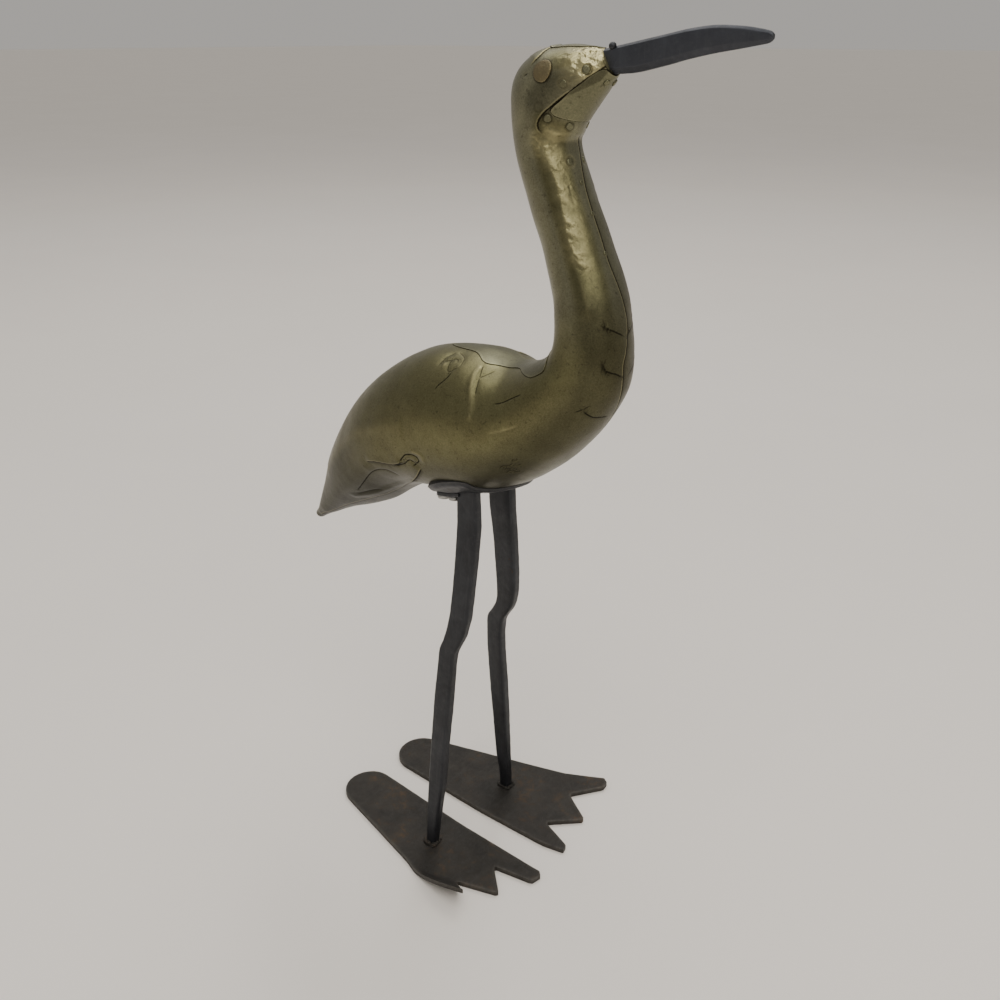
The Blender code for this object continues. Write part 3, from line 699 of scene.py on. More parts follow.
def end_metal(tree, colour, gloss, height, distance, strength):
    inputs = {"Height": height, "Distance": distance, "Strength": strength}
    relief = put(tree, "ShaderNodeBump", inputs).outputs[0]
    shader = tree.nodes["Principled BSDF"].inputs
    for word, value in (("Base Color", colour), ("Roughness", gloss), ("Normal", relief)):
        tree.links.new(value, shader[word])


# %% [markdown]
# ## Shared effects
# Brass and iron share three effects. Mottling is the uneven tone of old metal. Beaten marks are the shallow
# facets of a hammer. Rubbing lays fine scratches that run every way. Each is a group with its own sizes.

# %% Mottling, beaten marks and rubbing
NUMBER = "NodeSocketFloat"

mottle, given, out = new_group(
    "metal_mottle",
    [("Cloud size", NUMBER, 60.0), ("Fleck size", NUMBER, 700.0), ("Seed", NUMBER, 0.0)],
    [("Clouds", NUMBER), ("Flecks", NUMBER)],
)
where = put(mottle, "ShaderNodeTexCoord").outputs["Object"]
shifted = put(mottle, "ShaderNodeVectorMath", {0: where, 1: given["Seed"]}, operation="ADD").outputs[0]
clouds = put(mottle, "ShaderNodeTexNoise", {"Vector": shifted, "Scale": given["Cloud size"], "Detail": 6.0,
                                           "Roughness": 0.6, "Distortion": 0.6}).outputs[0]
flecks = put(mottle, "ShaderNodeTexNoise", {"Vector": shifted, "Scale": given["Fleck size"], "Detail": 4.0,
                                           "Roughness": 0.65}).outputs[0]
mottle.links.new(span(mottle, clouds, 0.32, 0.68), out["Clouds"])
mottle.links.new(span(mottle, flecks, 0.35, 0.65), out["Flecks"])

beaten, given, out = new_group(
    "beaten_marks", [("Mark size", NUMBER, 260.0), ("Strength", NUMBER, 1.0)], [("Height", NUMBER)],
)
where = put(beaten, "ShaderNodeTexCoord").outputs["Object"]
wobble = put(beaten, "ShaderNodeTexNoise", {"Vector": where, "Scale": 300.0, "Detail": 2.0}).outputs["Color"]
bent = put(beaten, "ShaderNodeVectorMath", {0: wobble, "Scale": 0.003}, operation="SCALE").outputs[0]
bent = put(beaten, "ShaderNodeVectorMath", {0: where, 1: bent}, operation="ADD").outputs[0]
facets = put(beaten, "ShaderNodeTexVoronoi", {"Vector": bent, "Scale": given["Mark size"], "Smoothness": 0.6},
             feature="SMOOTH_F1").outputs["Distance"]
beaten.links.new(times(beaten, facets, given["Strength"]), out["Height"])

rubbed, given, out = new_group(
    "fine_rubbing", [("Scratch size", NUMBER, 900.0)], [("Scratches", NUMBER)],
)
where = put(rubbed, "ShaderNodeTexCoord").outputs["Object"]
strokes = []
for turn, stretch in (((0.3, 0.2, 0.6), (1, 1, 0.06)), ((1.1, 0.4, 2.1), (1, 0.07, 1))):
    turned = put(rubbed, "ShaderNodeMapping", {"Vector": where, "Rotation": turn, "Scale": stretch}).outputs[0]
    strokes.append(put(rubbed, "ShaderNodeTexNoise", {"Vector": turned, "Scale": given["Scratch size"],
                                                     "Detail": 3.0, "Roughness": 0.7}).outputs[0])
both = maths(rubbed, "MAXIMUM", *strokes)
rubbed.links.new(span(rubbed, both, 0.52, 0.72), out["Scratches"])
print("shared effects", [group.name for group in bpy.data.node_groups])


# %% [markdown]
# ## Brass
# Old brass is a greenish khaki with browner clouds, and it is yellow and bright where hands or hammer rub it.
# The worn mark and the mark of grime and shade steer the colour and the gloss. The grey and tone marks paint
# shade on the belly, a grey room's reflection on the neck and a darker colour where the lamp lights the neck,
# and a thin painted highlight runs along each lap's cut edge. The hammered mark turns the beaten facets on,
# which is what throws the small sharp glints on the cheek and the neck.

# %% Brass finish
SOOT_AND_SHADE, SPECK = (0.010, 0.008, 0.005, 1), (0.03, 0.025, 0.018, 1)
GREY_SHADE_TINT = (1.0, 1.04, 1.42, 1)
LINE_HALF, CUT_EDGE_MIDDLE = 0.2, 0.5


def brass_finish(name, tone, brown, bright, roughness, marks, toned=False):
    finish, tree = start_metal(name, 1.0)
    spots = use_group(tree, mottle, {"Cloud size": 38.0, "Fleck size": 520.0})
    small = use_group(tree, mottle, {"Cloud size": 150.0, "Fleck size": 1500.0, "Seed": 3.0})
    lines = use_group(tree, rubbed, {"Scratch size": 620.0})
    colour = mix(tree, times(tree, spots["Clouds"], 0.75), tone, brown)
    colour = mix(tree, times(tree, small["Clouds"], 0.35), colour, [c * 0.62 for c in brown[:3]] + [1])
    colour = mix(tree, times(tree, small["Flecks"], 0.12), colour, bright)
    colour = mix(tree, span(tree, spots["Flecks"], 0.88, 1.0, 0.0, 0.35), colour, SPECK)
    # The grey mark tints the brass as painted shade and as a painted reflection of a grey room.
    colour = mix(tree, mark(tree, "grey_tint_and_shade"), colour, GREY_SHADE_TINT, "MULTIPLY")
    # The tone mark paints shade on the belly and darkens the lamp-lit strip of the neck, with other changes of
    # tone by region.
    if toned:
        inputs = {0: colour, "Scale": mark(tree, "tone")}
        colour = put(tree, "ShaderNodeVectorMath", inputs, operation="SCALE").outputs[0]
    worn, grime, hammered = [mark(tree, word) for word in ("worn", "grime", "hammered")]
    rubbing = clamp(tree, times(tree, worn, span(tree, small["Clouds"], 0.0, 1.0, 1.0, 0.55)))
    colour = mix(tree, times(tree, rubbing, 0.8), colour, bright)
    colour = mix(tree, clamp(tree, times(tree, hammered, 0.6)), colour, bright)
    words = ("line", "near", "line_dark", "edge_wear_and_highlight")
    line, near, line_dark, edge_wear_and_highlight = [mark(tree, word) for word in words]
    line = plus(tree, line, span(tree, small["Flecks"], 0.0, 1.0, -0.1, 0.1))
    close = span(tree, near, 1.5, 1.0)
    # A thin line beside each lap's cut edge is painted brighter: partly worn metal, partly painted highlight.
    aside = maths(tree, "ABSOLUTE", maths(tree, "SUBTRACT", line, CUT_EDGE_MIDDLE))
    cut_edge_wear_and_highlight = times(tree, times(tree, span(tree, aside, 0.42, 0.15), close), edge_wear_and_highlight)
    colour = mix(tree, clamp(tree, cut_edge_wear_and_highlight), colour, bright)
    thin = span(tree, maths(tree, "ABSOLUTE", line), 2 * LINE_HALF, LINE_HALF)
    # Grime, dark joints and the painted shade under the laps and the cheek's lip all darken towards the soot
    # colour.
    dirt_and_shade = clamp(tree, plus(tree, grime, times(tree, times(tree, thin, close), line_dark)))
    colour = mix(tree, times(tree, dirt_and_shade, 0.9), colour, SOOT_AND_SHADE)
    gloss = span(tree, spots["Clouds"], 0.0, 1.0, roughness - 0.05, roughness + 0.09)
    gloss = plus(tree, gloss, times(tree, lines["Scratches"], 0.06))
    gloss = maths(tree, "SUBTRACT", gloss, times(tree, rubbing, 0.1))
    gloss = plus(tree, gloss, times(tree, dirt_and_shade, 0.3))
    facets = use_group(tree, beaten, {"Mark size": 430.0, "Strength": 1.0})
    wide = use_group(tree, beaten, {"Mark size": 95.0, "Strength": marks})
    height = times(tree, facets["Height"], times(tree, hammered, 1.9))
    height = plus(tree, height, wide["Height"])
    height = plus(tree, height, times(tree, lines["Scratches"], -0.02))
    height = plus(tree, height, times(tree, small["Flecks"], 0.035))
    end_metal(tree, colour, gloss, height, 0.0005, 0.8)
    return finish


brass_patina = brass_finish(
    "brass_patina", (0.155, 0.149, 0.073, 1), (0.102, 0.094, 0.047, 1), (0.52, 0.47, 0.25, 1), 0.35, 0.30, True)
brass_plate = brass_finish(
    "brass_plate", (0.145, 0.145, 0.086, 1), (0.105, 0.10, 0.062, 1), (0.48, 0.45, 0.28, 1), 0.38, 0.22)
print("brass finishes made")

place_piece("right_brass", right_mesh, brass_patina, ["right_shell"])
place_piece("left_brass", left_mesh, brass_patina, ["left_shell"])

# %% [markdown]
# ## Plates that follow the body
# A plate is cut from flat sheet and bent over the form. Here its outline is drawn on the body's map, sliced
# along a fine net so that it can bend, given its thickness, and laid on the skin's relief point by point.

# %% Plate helper
def slice_face(edit, pitch_x, pitch_y):
    xs, ys = [v.co.x for v in edit.verts], [v.co.y for v in edit.verts]
    for low, high, pitch, axis in ((min(xs), max(xs), pitch_x, 0), (min(ys), max(ys), pitch_y, 1)):
        for i in range(1, int((high - low) / pitch) + 1):
            at, way = [0, 0, 0], [0, 0, 0]
            at[axis], way[axis] = low + i * pitch, 1
            whole = edit.verts[:] + edit.edges[:] + edit.faces[:]
            bmesh.ops.bisect_plane(edit, geom=whole, plane_co=at, plane_no=way)


def outline_distance(points, outline):
    """Distance of each flat point to the nearest side of an outline."""
    best = np.full(len(points), 1e9)
    for start, end in zip(outline, outline[1:] + outline[:1]):
        a, b = np.array(start), np.array(end)
        t = (((points - a) @ (b - a)) / max(1e-12, ((b - a) ** 2).sum())).clip(0, 1)
        best = np.minimum(best, np.linalg.norm(points - (a + t[:, None] * (b - a)), axis=1))
    return best


def mark_points(edit, **marks):
    """Writes named marks on the points of a mesh under edit, for the finish to read."""
    for word, values in marks.items():
        layer = edit.verts.layers.float.new(word)
        for vertex, value in zip(edit.verts, values):
            vertex[layer] = value


def plate_mesh(name, outline, low, high, pitch=(0.05, 3.0), ridge=None, relief=0.0, worn=0.5, shade=None):
    """A plate between two heights in mm over the body, from an outline of (place, angle in degrees).
    The height may be a function of the place, and relief is how much of the skin's own relief it follows."""
    edit = bmesh.new()
    edit.faces.new([edit.verts.new((place, angle, 0)) for place, angle in outline])
    slice_face(edit, *pitch)
    grown = bmesh.ops.extrude_face_region(edit, geom=edit.faces[:])
    for item in grown["geom"]:
        if isinstance(item, bmesh.types.BMVert):
            item.co.z = 1
    flat = np.array([vertex.co[:] for vertex in edit.verts])
    place, angle, level = flat.T
    points, normals, ahead, around = body_frame(place, np.radians(angle))
    scale = np.array([np.linalg.norm(ahead, axis=1).mean() / MM, np.linalg.norm(around, axis=1).mean() / MM])
    metric = lambda pairs: np.column_stack([np.array(pairs)[:, 0], np.radians(np.array(pairs)[:, 1])]) * scale
    inward = outline_distance(metric(flat[:, :2]), [tuple(pair) for pair in metric(outline)])
    height = np.where(level > 0.5, high(place) if callable(high) else high, low)
    height = height + relief * relief_at(place, angle) if relief else height
    if ridge:
        height = height + np.where(level > 0.5, ridge(inward), 0)
    places = points + normals * (height * MM)[:, None]
    for vertex, point in zip(edit.verts, places):
        vertex.co = Vector(point)
    rubbed_edge = worn * np.exp(-(inward / 0.4) ** 2) * (level > 0.5)
    # The lower face is darker, and on the throat the shade function adds painted shade under the cheek's lip.
    dirt_and_shade = (level < 0.5) * 0.6 + (shade(place, angle) if shade else 0)
    mark_points(edit, worn=rubbed_edge, grime=dirt_and_shade)
    bmesh.ops.dissolve_degenerate(edit, dist=0.00001, edges=edit.edges[:])
    return mesh_from_edit(name, edit, 40)


def add_bevel(piece, width, segments=2, angle=50):
    made = piece.modifiers.new("rounded_edges", "BEVEL")
    made.width, made.segments = width, segments
    made.limit_method, made.angle_limit = "ANGLE", math.radians(angle)
    return piece


# %% [markdown]
# ## Crown, throat and back plates
# The crown plate closes the head's top and shows as a pale sliver over the cheek. The throat plate tucks
# under the cheek's lip. The back plate is a patch where the neck leaves the back, with a wavy cut edge.

# %% Brass plates
plates = (
    ("crown", CROWN, -0.3, 0.3, 1.0, 0.7, "crown_plate"),
    ("throat", THROAT, -0.2, 0.4, 0.0, 0.25, "throat_plate"),
    ("back_patch", BACK, -0.3, 0.32, 1.0, 0.3, "back_plate"),
)


def painted_lip_shade(place, angle):
    """Painted shade under the cheek's lip, in a band that widens towards the bill."""
    turned = 180 - np.abs(angle - 180)
    border = np.interp(place, (14.6, 14.8, 15.58, 16.15, 16.5, 16.98), (120, 125, 132, 137, 143, 132))
    return 0.4 * between(turned, border + 1.5, border - 1.5)


for name, outline, low, high, relief, worn, node in plates:
    shade = painted_lip_shade if name == "throat" else None
    mesh = plate_mesh(name, outline, low, high, pitch=(0.04, 2.0), relief=relief, worn=worn, shade=shade)
    add_bevel(place_piece(name, mesh, brass_plate, [node]), 0.12 * MM)

# %% [markdown]
# ## Dark iron
# Forged iron that was waxed over its black scale is nearly black, a little blue where it is smooth and brown
# where it starts to rust. It isn't a pure mirror, because the scale is an oxide, so it is only partly
# metallic. It is rubbed to grey along the edges of the feet, where the mesh carries a worn mark.

# %% Iron finish
SCRATCH_GREY, EDGE_GREY = (0.16, 0.16, 0.17, 1), (0.14, 0.13, 0.115, 1)


def iron_finish(name, tone, cool, rust, rust_amount, roughness, pits, scratches):
    finish, tree = start_metal(name, 0.55)
    broad = use_group(tree, mottle, {"Cloud size": 55.0, "Fleck size": 900.0, "Seed": 5.0})
    small = use_group(tree, mottle, {"Cloud size": 230.0, "Fleck size": 2200.0, "Seed": 9.0})
    lines = use_group(tree, rubbed, {"Scratch size": 500.0})
    colour = mix(tree, broad["Clouds"], tone, cool)
    rusty = span(tree, times(tree, broad["Clouds"], small["Clouds"]), 1 - rust_amount, 1.0)
    colour = mix(tree, clamp(tree, rusty), colour, rust)
    colour = mix(tree, times(tree, lines["Scratches"], scratches), colour, SCRATCH_GREY)
    edge = clamp(tree, times(tree, mark(tree, "worn"), small["Clouds"]))
    colour = mix(tree, times(tree, edge, 0.7), colour, EDGE_GREY)
    gloss = span(tree, small["Clouds"], 0.0, 1.0, roughness - 0.07, roughness + 0.1)
    facets = use_group(tree, beaten, {"Mark size": 170.0, "Strength": 0.35})
    height = plus(tree, facets["Height"], times(tree, small["Clouds"], pits))
    height = plus(tree, height, times(tree, small["Flecks"], pits * 0.5))
    end_metal(tree, colour, gloss, height, 0.0004, 0.7)
    return finish


black_iron = iron_finish(
    "black_iron", (0.017, 0.018, 0.021, 1), (0.028, 0.030, 0.035, 1), (0.05, 0.032, 0.02, 1),
    rust_amount=0.3, roughness=0.42, pits=0.2, scratches=0.08)
foot_iron = iron_finish(
    "foot_iron", (0.026, 0.024, 0.021, 1), (0.040, 0.035, 0.029, 1), (0.085, 0.055, 0.032, 1),
    rust_amount=0.62, roughness=0.55, pits=0.6, scratches=0.06)
bill_iron = iron_finish(
    "bill_iron", (0.030, 0.033, 0.040, 1), (0.048, 0.052, 0.064, 1), (0.06, 0.045, 0.035, 1),
    rust_amount=0.3, roughness=0.42, pits=0.2, scratches=0.08)
print("iron finishes made")

# %% [markdown]
# ## Hip plate
# The hip plate is a forged saddle that wraps the belly. Its edges are drawn thin by the hammer, so the height
# falls off near the outline, and a rounded ridge runs along inside it.

# %% Hip plate
hip_rear = 4.55
HIP = mirrored(
    [(6.3, 180), (6.2, 167), (6, 159), (5.75, 148), (5.7, 133), (hip_rear + 0.4, 134), (hip_rear, 148),
     (hip_rear, 180)], 180)


def forged_edge(inward):
    return -0.7 * np.exp(-(inward / 0.8) ** 2) + 0.3 * np.exp(-((inward - 2.4) / 1.1) ** 2)


def saddle_height(place):
    return np.interp(place, (4.4, 5.0, 5.5, 6.3), (2.4, 2.4, 1.3, 0.9))


hip_mesh = plate_mesh("hip_saddle", ease(HIP, keep=0.22), -0.1, saddle_height, pitch=(0.025, 1.5),
                      ridge=forged_edge)
place_piece("hip_saddle", hip_mesh, black_iron, ["hip_plate"])
hip_tree = BVHTree.FromPolygons([v.co for v in hip_mesh.vertices], [f.vertices for f in hip_mesh.polygons])


def under_hip(x, y):
    hit = hip_tree.ray_cast(Vector((x, y, 0)), Vector((0, 0, 1)))
    return hit[0].z if hit[0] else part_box("hip_plate")[0].z


# %% [markdown]
# ## Legs
# Each leg is one strip of flat iron with a bent knee, welded to its foot and to a flange under the hip plate.
# The side view of the strip is a table of heights, each with its rear and front edge in mm. It is read every
# millimetre and a half, softened a little, and skinned with rounded corners.

# %% Legs
RIGHT_LEG = [
    (3.3, -3.1, 2.7), (24, -3.6, 4.3), (44, -3.6, 6.2), (70, -3.0, 7.0), (92, -2.5, 8.2), (110, -1.3, 8.8),
    (118, -0.8, 8.9), (123.5, -0.5, 9.8), (127.5, 1.6, 11.8), (134, 3.4, 14.8), (144, 5.3, 17.1),
    (158, 6.2, 18.1), (174, 6.9, 19.0), (194.5, 7.0, 19.6), (197.5, 7.0, 18.2), (200, 7.0, 17.8)]
LEFT_LEG = [
    (3.3, -1.2, 4.6), (17, -1.2, 5.4), (28, -2.3, 5.8), (60, -2.4, 7.2), (80, -2.5, 7.8), (104, -2.1, 8.0),
    (116, -1.3, 8.6), (122, -0.8, 9.6), (126, 0.1, 10.5), (130, 3.2, 12.9), (134, 5.5, 15.9),
    (139, 7.4, 18.2), (146, 8.1, 20.0), (158, 8.3, 21.1), (174, 8.3, 21.6), (194, 7.4, 21.6),
    (200, 7.0, 20.4)]
FOOT_TOP, HIP_HEIGHT, HIP_REAR = 3.3, 200, 7.0
STANCE, HIP_STANCE, FOOT_THICKNESS = 30.5, 11.0, 3.0
FLANGE_THICKNESS, FLANGE_LENGTH, FLANGE_WIDTH = 2.2, 12.8, 7.5
STRIP_STEP, STRIP_SINK, THICK_LOW, THICK_HIGH, CORNER_CUT = 1.5, 0.25, 5.4, 5.2, 0.17


def leg_mesh(name, side, outline, seed):
    table = np.array(outline)
    heights = np.arange(FOOT_TOP - STRIP_SINK, HIP_HEIGHT, STRIP_STEP)
    window = np.ones(3) / 3
    edges = []
    for column in (1, 2):
        edge = np.interp(heights, table[:, 0], table[:, column])
        edges.append(np.convolve(np.pad(edge, 1, mode="edge"), window, mode="valid"))
    rings = []
    for level, rear, front in zip(heights, *edges):
        share = level / HIP_HEIGHT
        middle = side * (STANCE + (HIP_STANCE - STANCE) * share)
        thick = THICK_LOW + (THICK_HIGH - THICK_LOW) * share
        half, cut = thick / 2, thick * CORNER_CUT
        corners = [
            (rear + cut, -half), (front - cut, -half), (front, cut - half), (front, half - cut),
            (front - cut, half), (rear + cut, half), (rear, half - cut), (rear, cut - half),
        ]
        flat = round_corners([(x, middle + y, level) for x, y in corners], 0.5, steps=2, along=2)
        rings.append([point * MM + MIDDLE for point in flat])
    top = np.array([under_hip(x, y) for x, y, _ in rings[-1]])
    for ring in rings[-4:-1]:
        for i, point in enumerate(ring):
            share = (ring[0][2] - rings[-5][0][2]) / (rings[-1][0][2] - rings[-5][0][2])
            point[2] += (top[i] - rings[-1][i][2]) * share
    for i, point in enumerate(rings[-1]):
        point[2] = top[i]
    points = np.array(rings).reshape(-1, 3)
    centres = np.array(rings).mean(1, keepdims=True)
    away = unit((np.array(rings) - centres).reshape(-1, 3) * np.array([1, 1, 0]))
    points += away * (0.12 * grain(points, 0.006, seed) + 0.08 * grain(points, 0.002, seed + 1))[:, None] * MM
    return mesh_from_edit(name, loft(points.reshape(len(rings), -1, 3)), 45)


def flange_mesh(name, side):
    hip_y = side * HIP_STANCE
    start, end = HIP_REAR + FLANGE_THICKNESS, HIP_REAR - FLANGE_LENGTH
    rings = []
    for t in np.linspace(0, 1, 22):
        x = start + (end - start) * t
        narrow = FLANGE_WIDTH / 2 * (1 - 0.35 * max(0, (t - 0.85) / 0.15) ** 2)
        corners = []
        for y, level in ((-narrow, 0), (narrow, 0), (narrow, 1), (-narrow, 1)):
            at = np.array([x, hip_y + y, 0]) * MM + MIDDLE
            at[2] = under_hip(at[0], at[1]) + (0.15 - FLANGE_THICKNESS * level) * MM
            corners.append(at)
        rings.append(round_corners(corners, 0.0006, steps=3, along=1))
    return mesh_from_edit(name, loft(rings), 45)


def joined(name, meshes):
    edit = bmesh.new()
    for mesh in meshes:
        edit.from_mesh(mesh)
    whole = bpy.data.meshes.new(name)
    edit.to_mesh(whole)
    edit.free()
    return whole


for word, side, outline, seed in (("right", -1, RIGHT_LEG, 11), ("left", 1, LEFT_LEG, 17)):
    strip = leg_mesh(f"{word}_strip", side, outline, seed)
    flange = flange_mesh(f"{word}_flange", side)
    whole = joined(f"{word}_strip_leg", [strip, flange])
    whole.shade_smooth()
    whole.set_sharp_from_angle(angle=math.radians(45))
    place_piece(f"{word}_strip_leg", whole, black_iron, [f"{word}_leg"])

# %% [markdown]
# ## Feet
# A foot is torch-cut from plate, with a round heel and three blunt toes. The outline is sliced into small
# faces, given its thickness, and roughened a little along the cut. The right foot's outer toe is bent up.

# %% Feet
TOE_OUT = math.radians(8)
RIGHT_FOOT = ((-59.0, 0.4, 13.8), [
    (0, 18.4), (10, 20.2), (18, 20.8), (26, 21.2), (32, 20.8), (38, 19.4), (43.4, 17.4), (44.0, 15.2),
    (30.2, 8.8), (51.4, -2.3), (35.6, -12.8), (56.6, -20.6), (57.0, -26.6), (54.6, -28.3), (48.2, -27.2),
    (0, -19.8)])
LEFT_FOOT = ((-57.2, -3.4, 14.2), [
    (24.6, 26.0), (40, 31.8), (48.0, 35.2), (51.0, 32.8), (51.2, 28.0), (36.8, 12.1), (54.2, -1.7),
    (36.3, -15.0), (54.7, -24.4), (55.1, -28.4), (42.3, -29.6), (0, -25.8)])
FOLD, RISE, REACH, LIFT = np.array([30.2, 8.8]), np.array([0.444, 0.896]), 13.7, 11.0


def foot_mesh(name, side, foot, curled, seed):
    (forward, outward, radius), toes = foot
    turns = np.radians(np.linspace(-95, -265, 14))
    heel = [(forward + radius * math.cos(t), outward + radius * math.sin(t)) for t in turns]
    outline = ease(heel + toes, rounds=2, keep=0.07)
    edit = bmesh.new()
    edit.faces.new([edit.verts.new((x, y, 0)) for x, y in outline])
    slice_face(edit, 1.3, 1.3)
    grown = bmesh.ops.extrude_face_region(edit, geom=edit.faces[:])
    for item in grown["geom"]:
        if isinstance(item, bmesh.types.BMVert):
            item.co.z = 1
    flat = np.array([vertex.co[:] for vertex in edit.verts])
    inward = outline_distance(flat[:, :2], outline)
    lump = grain(flat * MM, 0.007, seed) * 0.10 + grain(flat * MM, 0.0022, seed + 2) * 0.06
    height = flat[:, 2] * (FOOT_THICKNESS - 0.12 + lump - 0.2 * np.exp(-(inward / 0.5) ** 2))
    if curled:
        beyond = ((flat[:, :2] - FOLD) @ RISE).clip(0, None) / REACH
        height += LIFT * beyond ** 1.4
    x = flat[:, 0] * math.cos(TOE_OUT) - flat[:, 1] * math.sin(TOE_OUT)
    y = flat[:, 0] * math.sin(TOE_OUT) + flat[:, 1] * math.cos(TOE_OUT)
    places = np.column_stack([x, side * (y + STANCE), height]) * MM + MIDDLE
    for vertex, point in zip(edit.verts, places):
        vertex.co = Vector(point)
    mark_points(edit, worn=0.9 * np.exp(-(inward / 0.7) ** 2) * (flat[:, 2] > 0.5))
    return mesh_from_edit(name, edit, 50)


for word, side, foot, curled, seed in (("right", -1, RIGHT_FOOT, True, 21), ("left", 1, LEFT_FOOT, False, 27)):
    mesh = foot_mesh(f"{word}_toed_foot", side, foot, curled, seed)
    piece = place_piece(f"{word}_toed_foot", mesh, foot_iron, [f"{word}_foot"])
    add_bevel(piece, 0.35 * MM, 2, 55)

# %% [markdown]
# ## Bill
# The bill is a forged blade with a narrow bevel above and a wider one below. Its root lies against the face.
# Eight flat sides are swept from the root to the tip with eased corners, as a file would leave them.

# %% Bill
BILL_SECTIONS = [(86.0, 400.9, 390.6, 1.00), (97.0, 403.0, 392.9, 0.95), (106.5, 404.8, 395.2, 0.85),
                 (116.0, 405.8, 397.1, 0.75), (125.5, 405.5, 398.6, 0.62), (132.0, 404.7, 399.7, 0.5),
                 (135.2, 404.1, 400.3, 0.45), (136.4, 403.5, 401.0, 0.40)]
BILL_HALF, BEVEL_TOP, BEVEL_LOW = 2.7, 1.0, 2.2


def blade_corners(top, bottom, half):
    length = np.linalg.norm(bottom - top)
    down = (bottom - top) / length
    upper, lower = top + down * min(BEVEL_TOP, length * 0.2), bottom - down * min(BEVEL_LOW, length * 0.28)
    edge = half * 0.35
    ring = [(top, edge), (upper, half), (lower, half), (bottom, edge)]
    side = np.array([0, 1, 0])
    return [point + side * y for point, y in ring] + [point - side * y for point, y in reversed(ring)]


face_top, face_low = [(p - MIDDLE) / MM for p in body_points(np.array([FACE, FACE]), np.array([0, np.pi]))]
face_middle, face_half = (face_top + face_low) / 2, (face_top - face_low) / 2
ahead = unit(np.array([face_half[2], 0, -face_half[0]]))
root = [face_middle + face_half * share + ahead * 0.1 for share in (1.04, -0.95)]
stations = [(root[0], root[1], BILL_HALF)]
stations += [(np.array([x, 0, up]), np.array([x, 0, low]), BILL_HALF * share)
             for x, up, low, share in BILL_SECTIONS]
table = np.array([np.concatenate([top, low, [half]]) for top, low, half in stations])
smooth = smooth_line(table, steps=7)
rings = [round_corners(blade_corners(row[:3], row[3:6], row[6]), 0.2, 2, 1) for row in smooth]
rings = [[np.array(point) * MM + MIDDLE for point in ring] for ring in rings]
tip_centre = np.mean(rings[-1], axis=0)
rings.append([tip_centre + (point - tip_centre) * 0.7 + np.array([0.35 * MM, 0, 0]) for point in rings[-1]])
place_piece("blade_bill", mesh_from_edit("blade_bill", loft(rings), 32), bill_iron, ["bill"])

# %% [markdown]
# ## Eyes
# Each eye is a flat copper disc set into the cheek with a thin dark gap around it. The disc follows the
# cheek's curve, so its rings are laid on the body's map with a true radius in every direction.

# %% Eyes
def disc_mesh(name, place, angle, profile, sides=56):
    """A round head bent to the body, from a profile of (radius, height) in mm."""
    point, normal, ahead, around = [value[0] for value in body_frame(np.array([place]), np.array([angle]))]
    forward = unit(ahead)
    sideways = np.cross(normal, forward)
    lean = ahead @ around
    scale = (ahead @ ahead) * (around @ around) - lean**2
    rings = []
    for radius, height in profile:
        turn = np.linspace(0, 2 * np.pi, sides, endpoint=False)
        away = (np.outer(np.cos(turn), forward) + np.outer(np.sin(turn), sideways)) * radius * MM
        on_ahead, on_round = away @ ahead, away @ around
        places = place + ((around @ around) * on_ahead - lean * on_round) / scale
        angles = angle + ((ahead @ ahead) * on_round - lean * on_ahead) / scale
        points, normals, _, _ = body_frame(places, angles)
        rings.append(points + normals * height * MM)
    return mesh_from_edit(name, loft(rings), 50)


def copper_finish():
    finish, tree = start_metal("aged_copper", 0.9)
    spots = use_group(tree, mottle, {"Cloud size": 300.0, "Fleck size": 1600.0, "Seed": 12.0})
    lines = use_group(tree, rubbed, {"Scratch size": 1100.0})
    colour = mix(tree, spots["Clouds"], (0.15, 0.13, 0.072, 1), (0.205, 0.17, 0.09, 1))
    colour = mix(tree, times(tree, spots["Flecks"], 0.3), colour, (0.11, 0.075, 0.05, 1))
    gloss = span(tree, spots["Clouds"], 0.0, 1.0, 0.52, 0.40)
    height = plus(tree, times(tree, spots["Clouds"], 0.5), lines["Scratches"])
    end_metal(tree, colour, gloss, height, 0.00012, 0.6)
    return finish


aged_copper = copper_finish()
EYE_PROFILE = [
    (2.6, 0.1), (3.9, 0.1), (3.9, 0.6), (3.75, 0.74), (3.3, 0.79), (2.2, 0.86), (1.0, 0.9), (0.2, 0.91)]
for word, side in (("right", -1), ("left", 1)):
    mesh = disc_mesh(f"{word}_copper_eye", EYE[0], side * math.radians(EYE[1]), EYE_PROFILE)
    place_piece(f"{word}_copper_eye", mesh, aged_copper, [f"{word}_eye"])


# %% [markdown]
# ## Rivet, nail and bolt heads
# Round heads repeat all over the bird, so a node tree sets one head on each seat. A seat is a bare point that
# carries the way the head faces and its size. The head is a ball whose top is flattened, sunk to its middle.

# %% Heads by geometry nodes
GEOMETRY, MATERIAL = "NodeSocketGeometry", "NodeSocketMaterial"


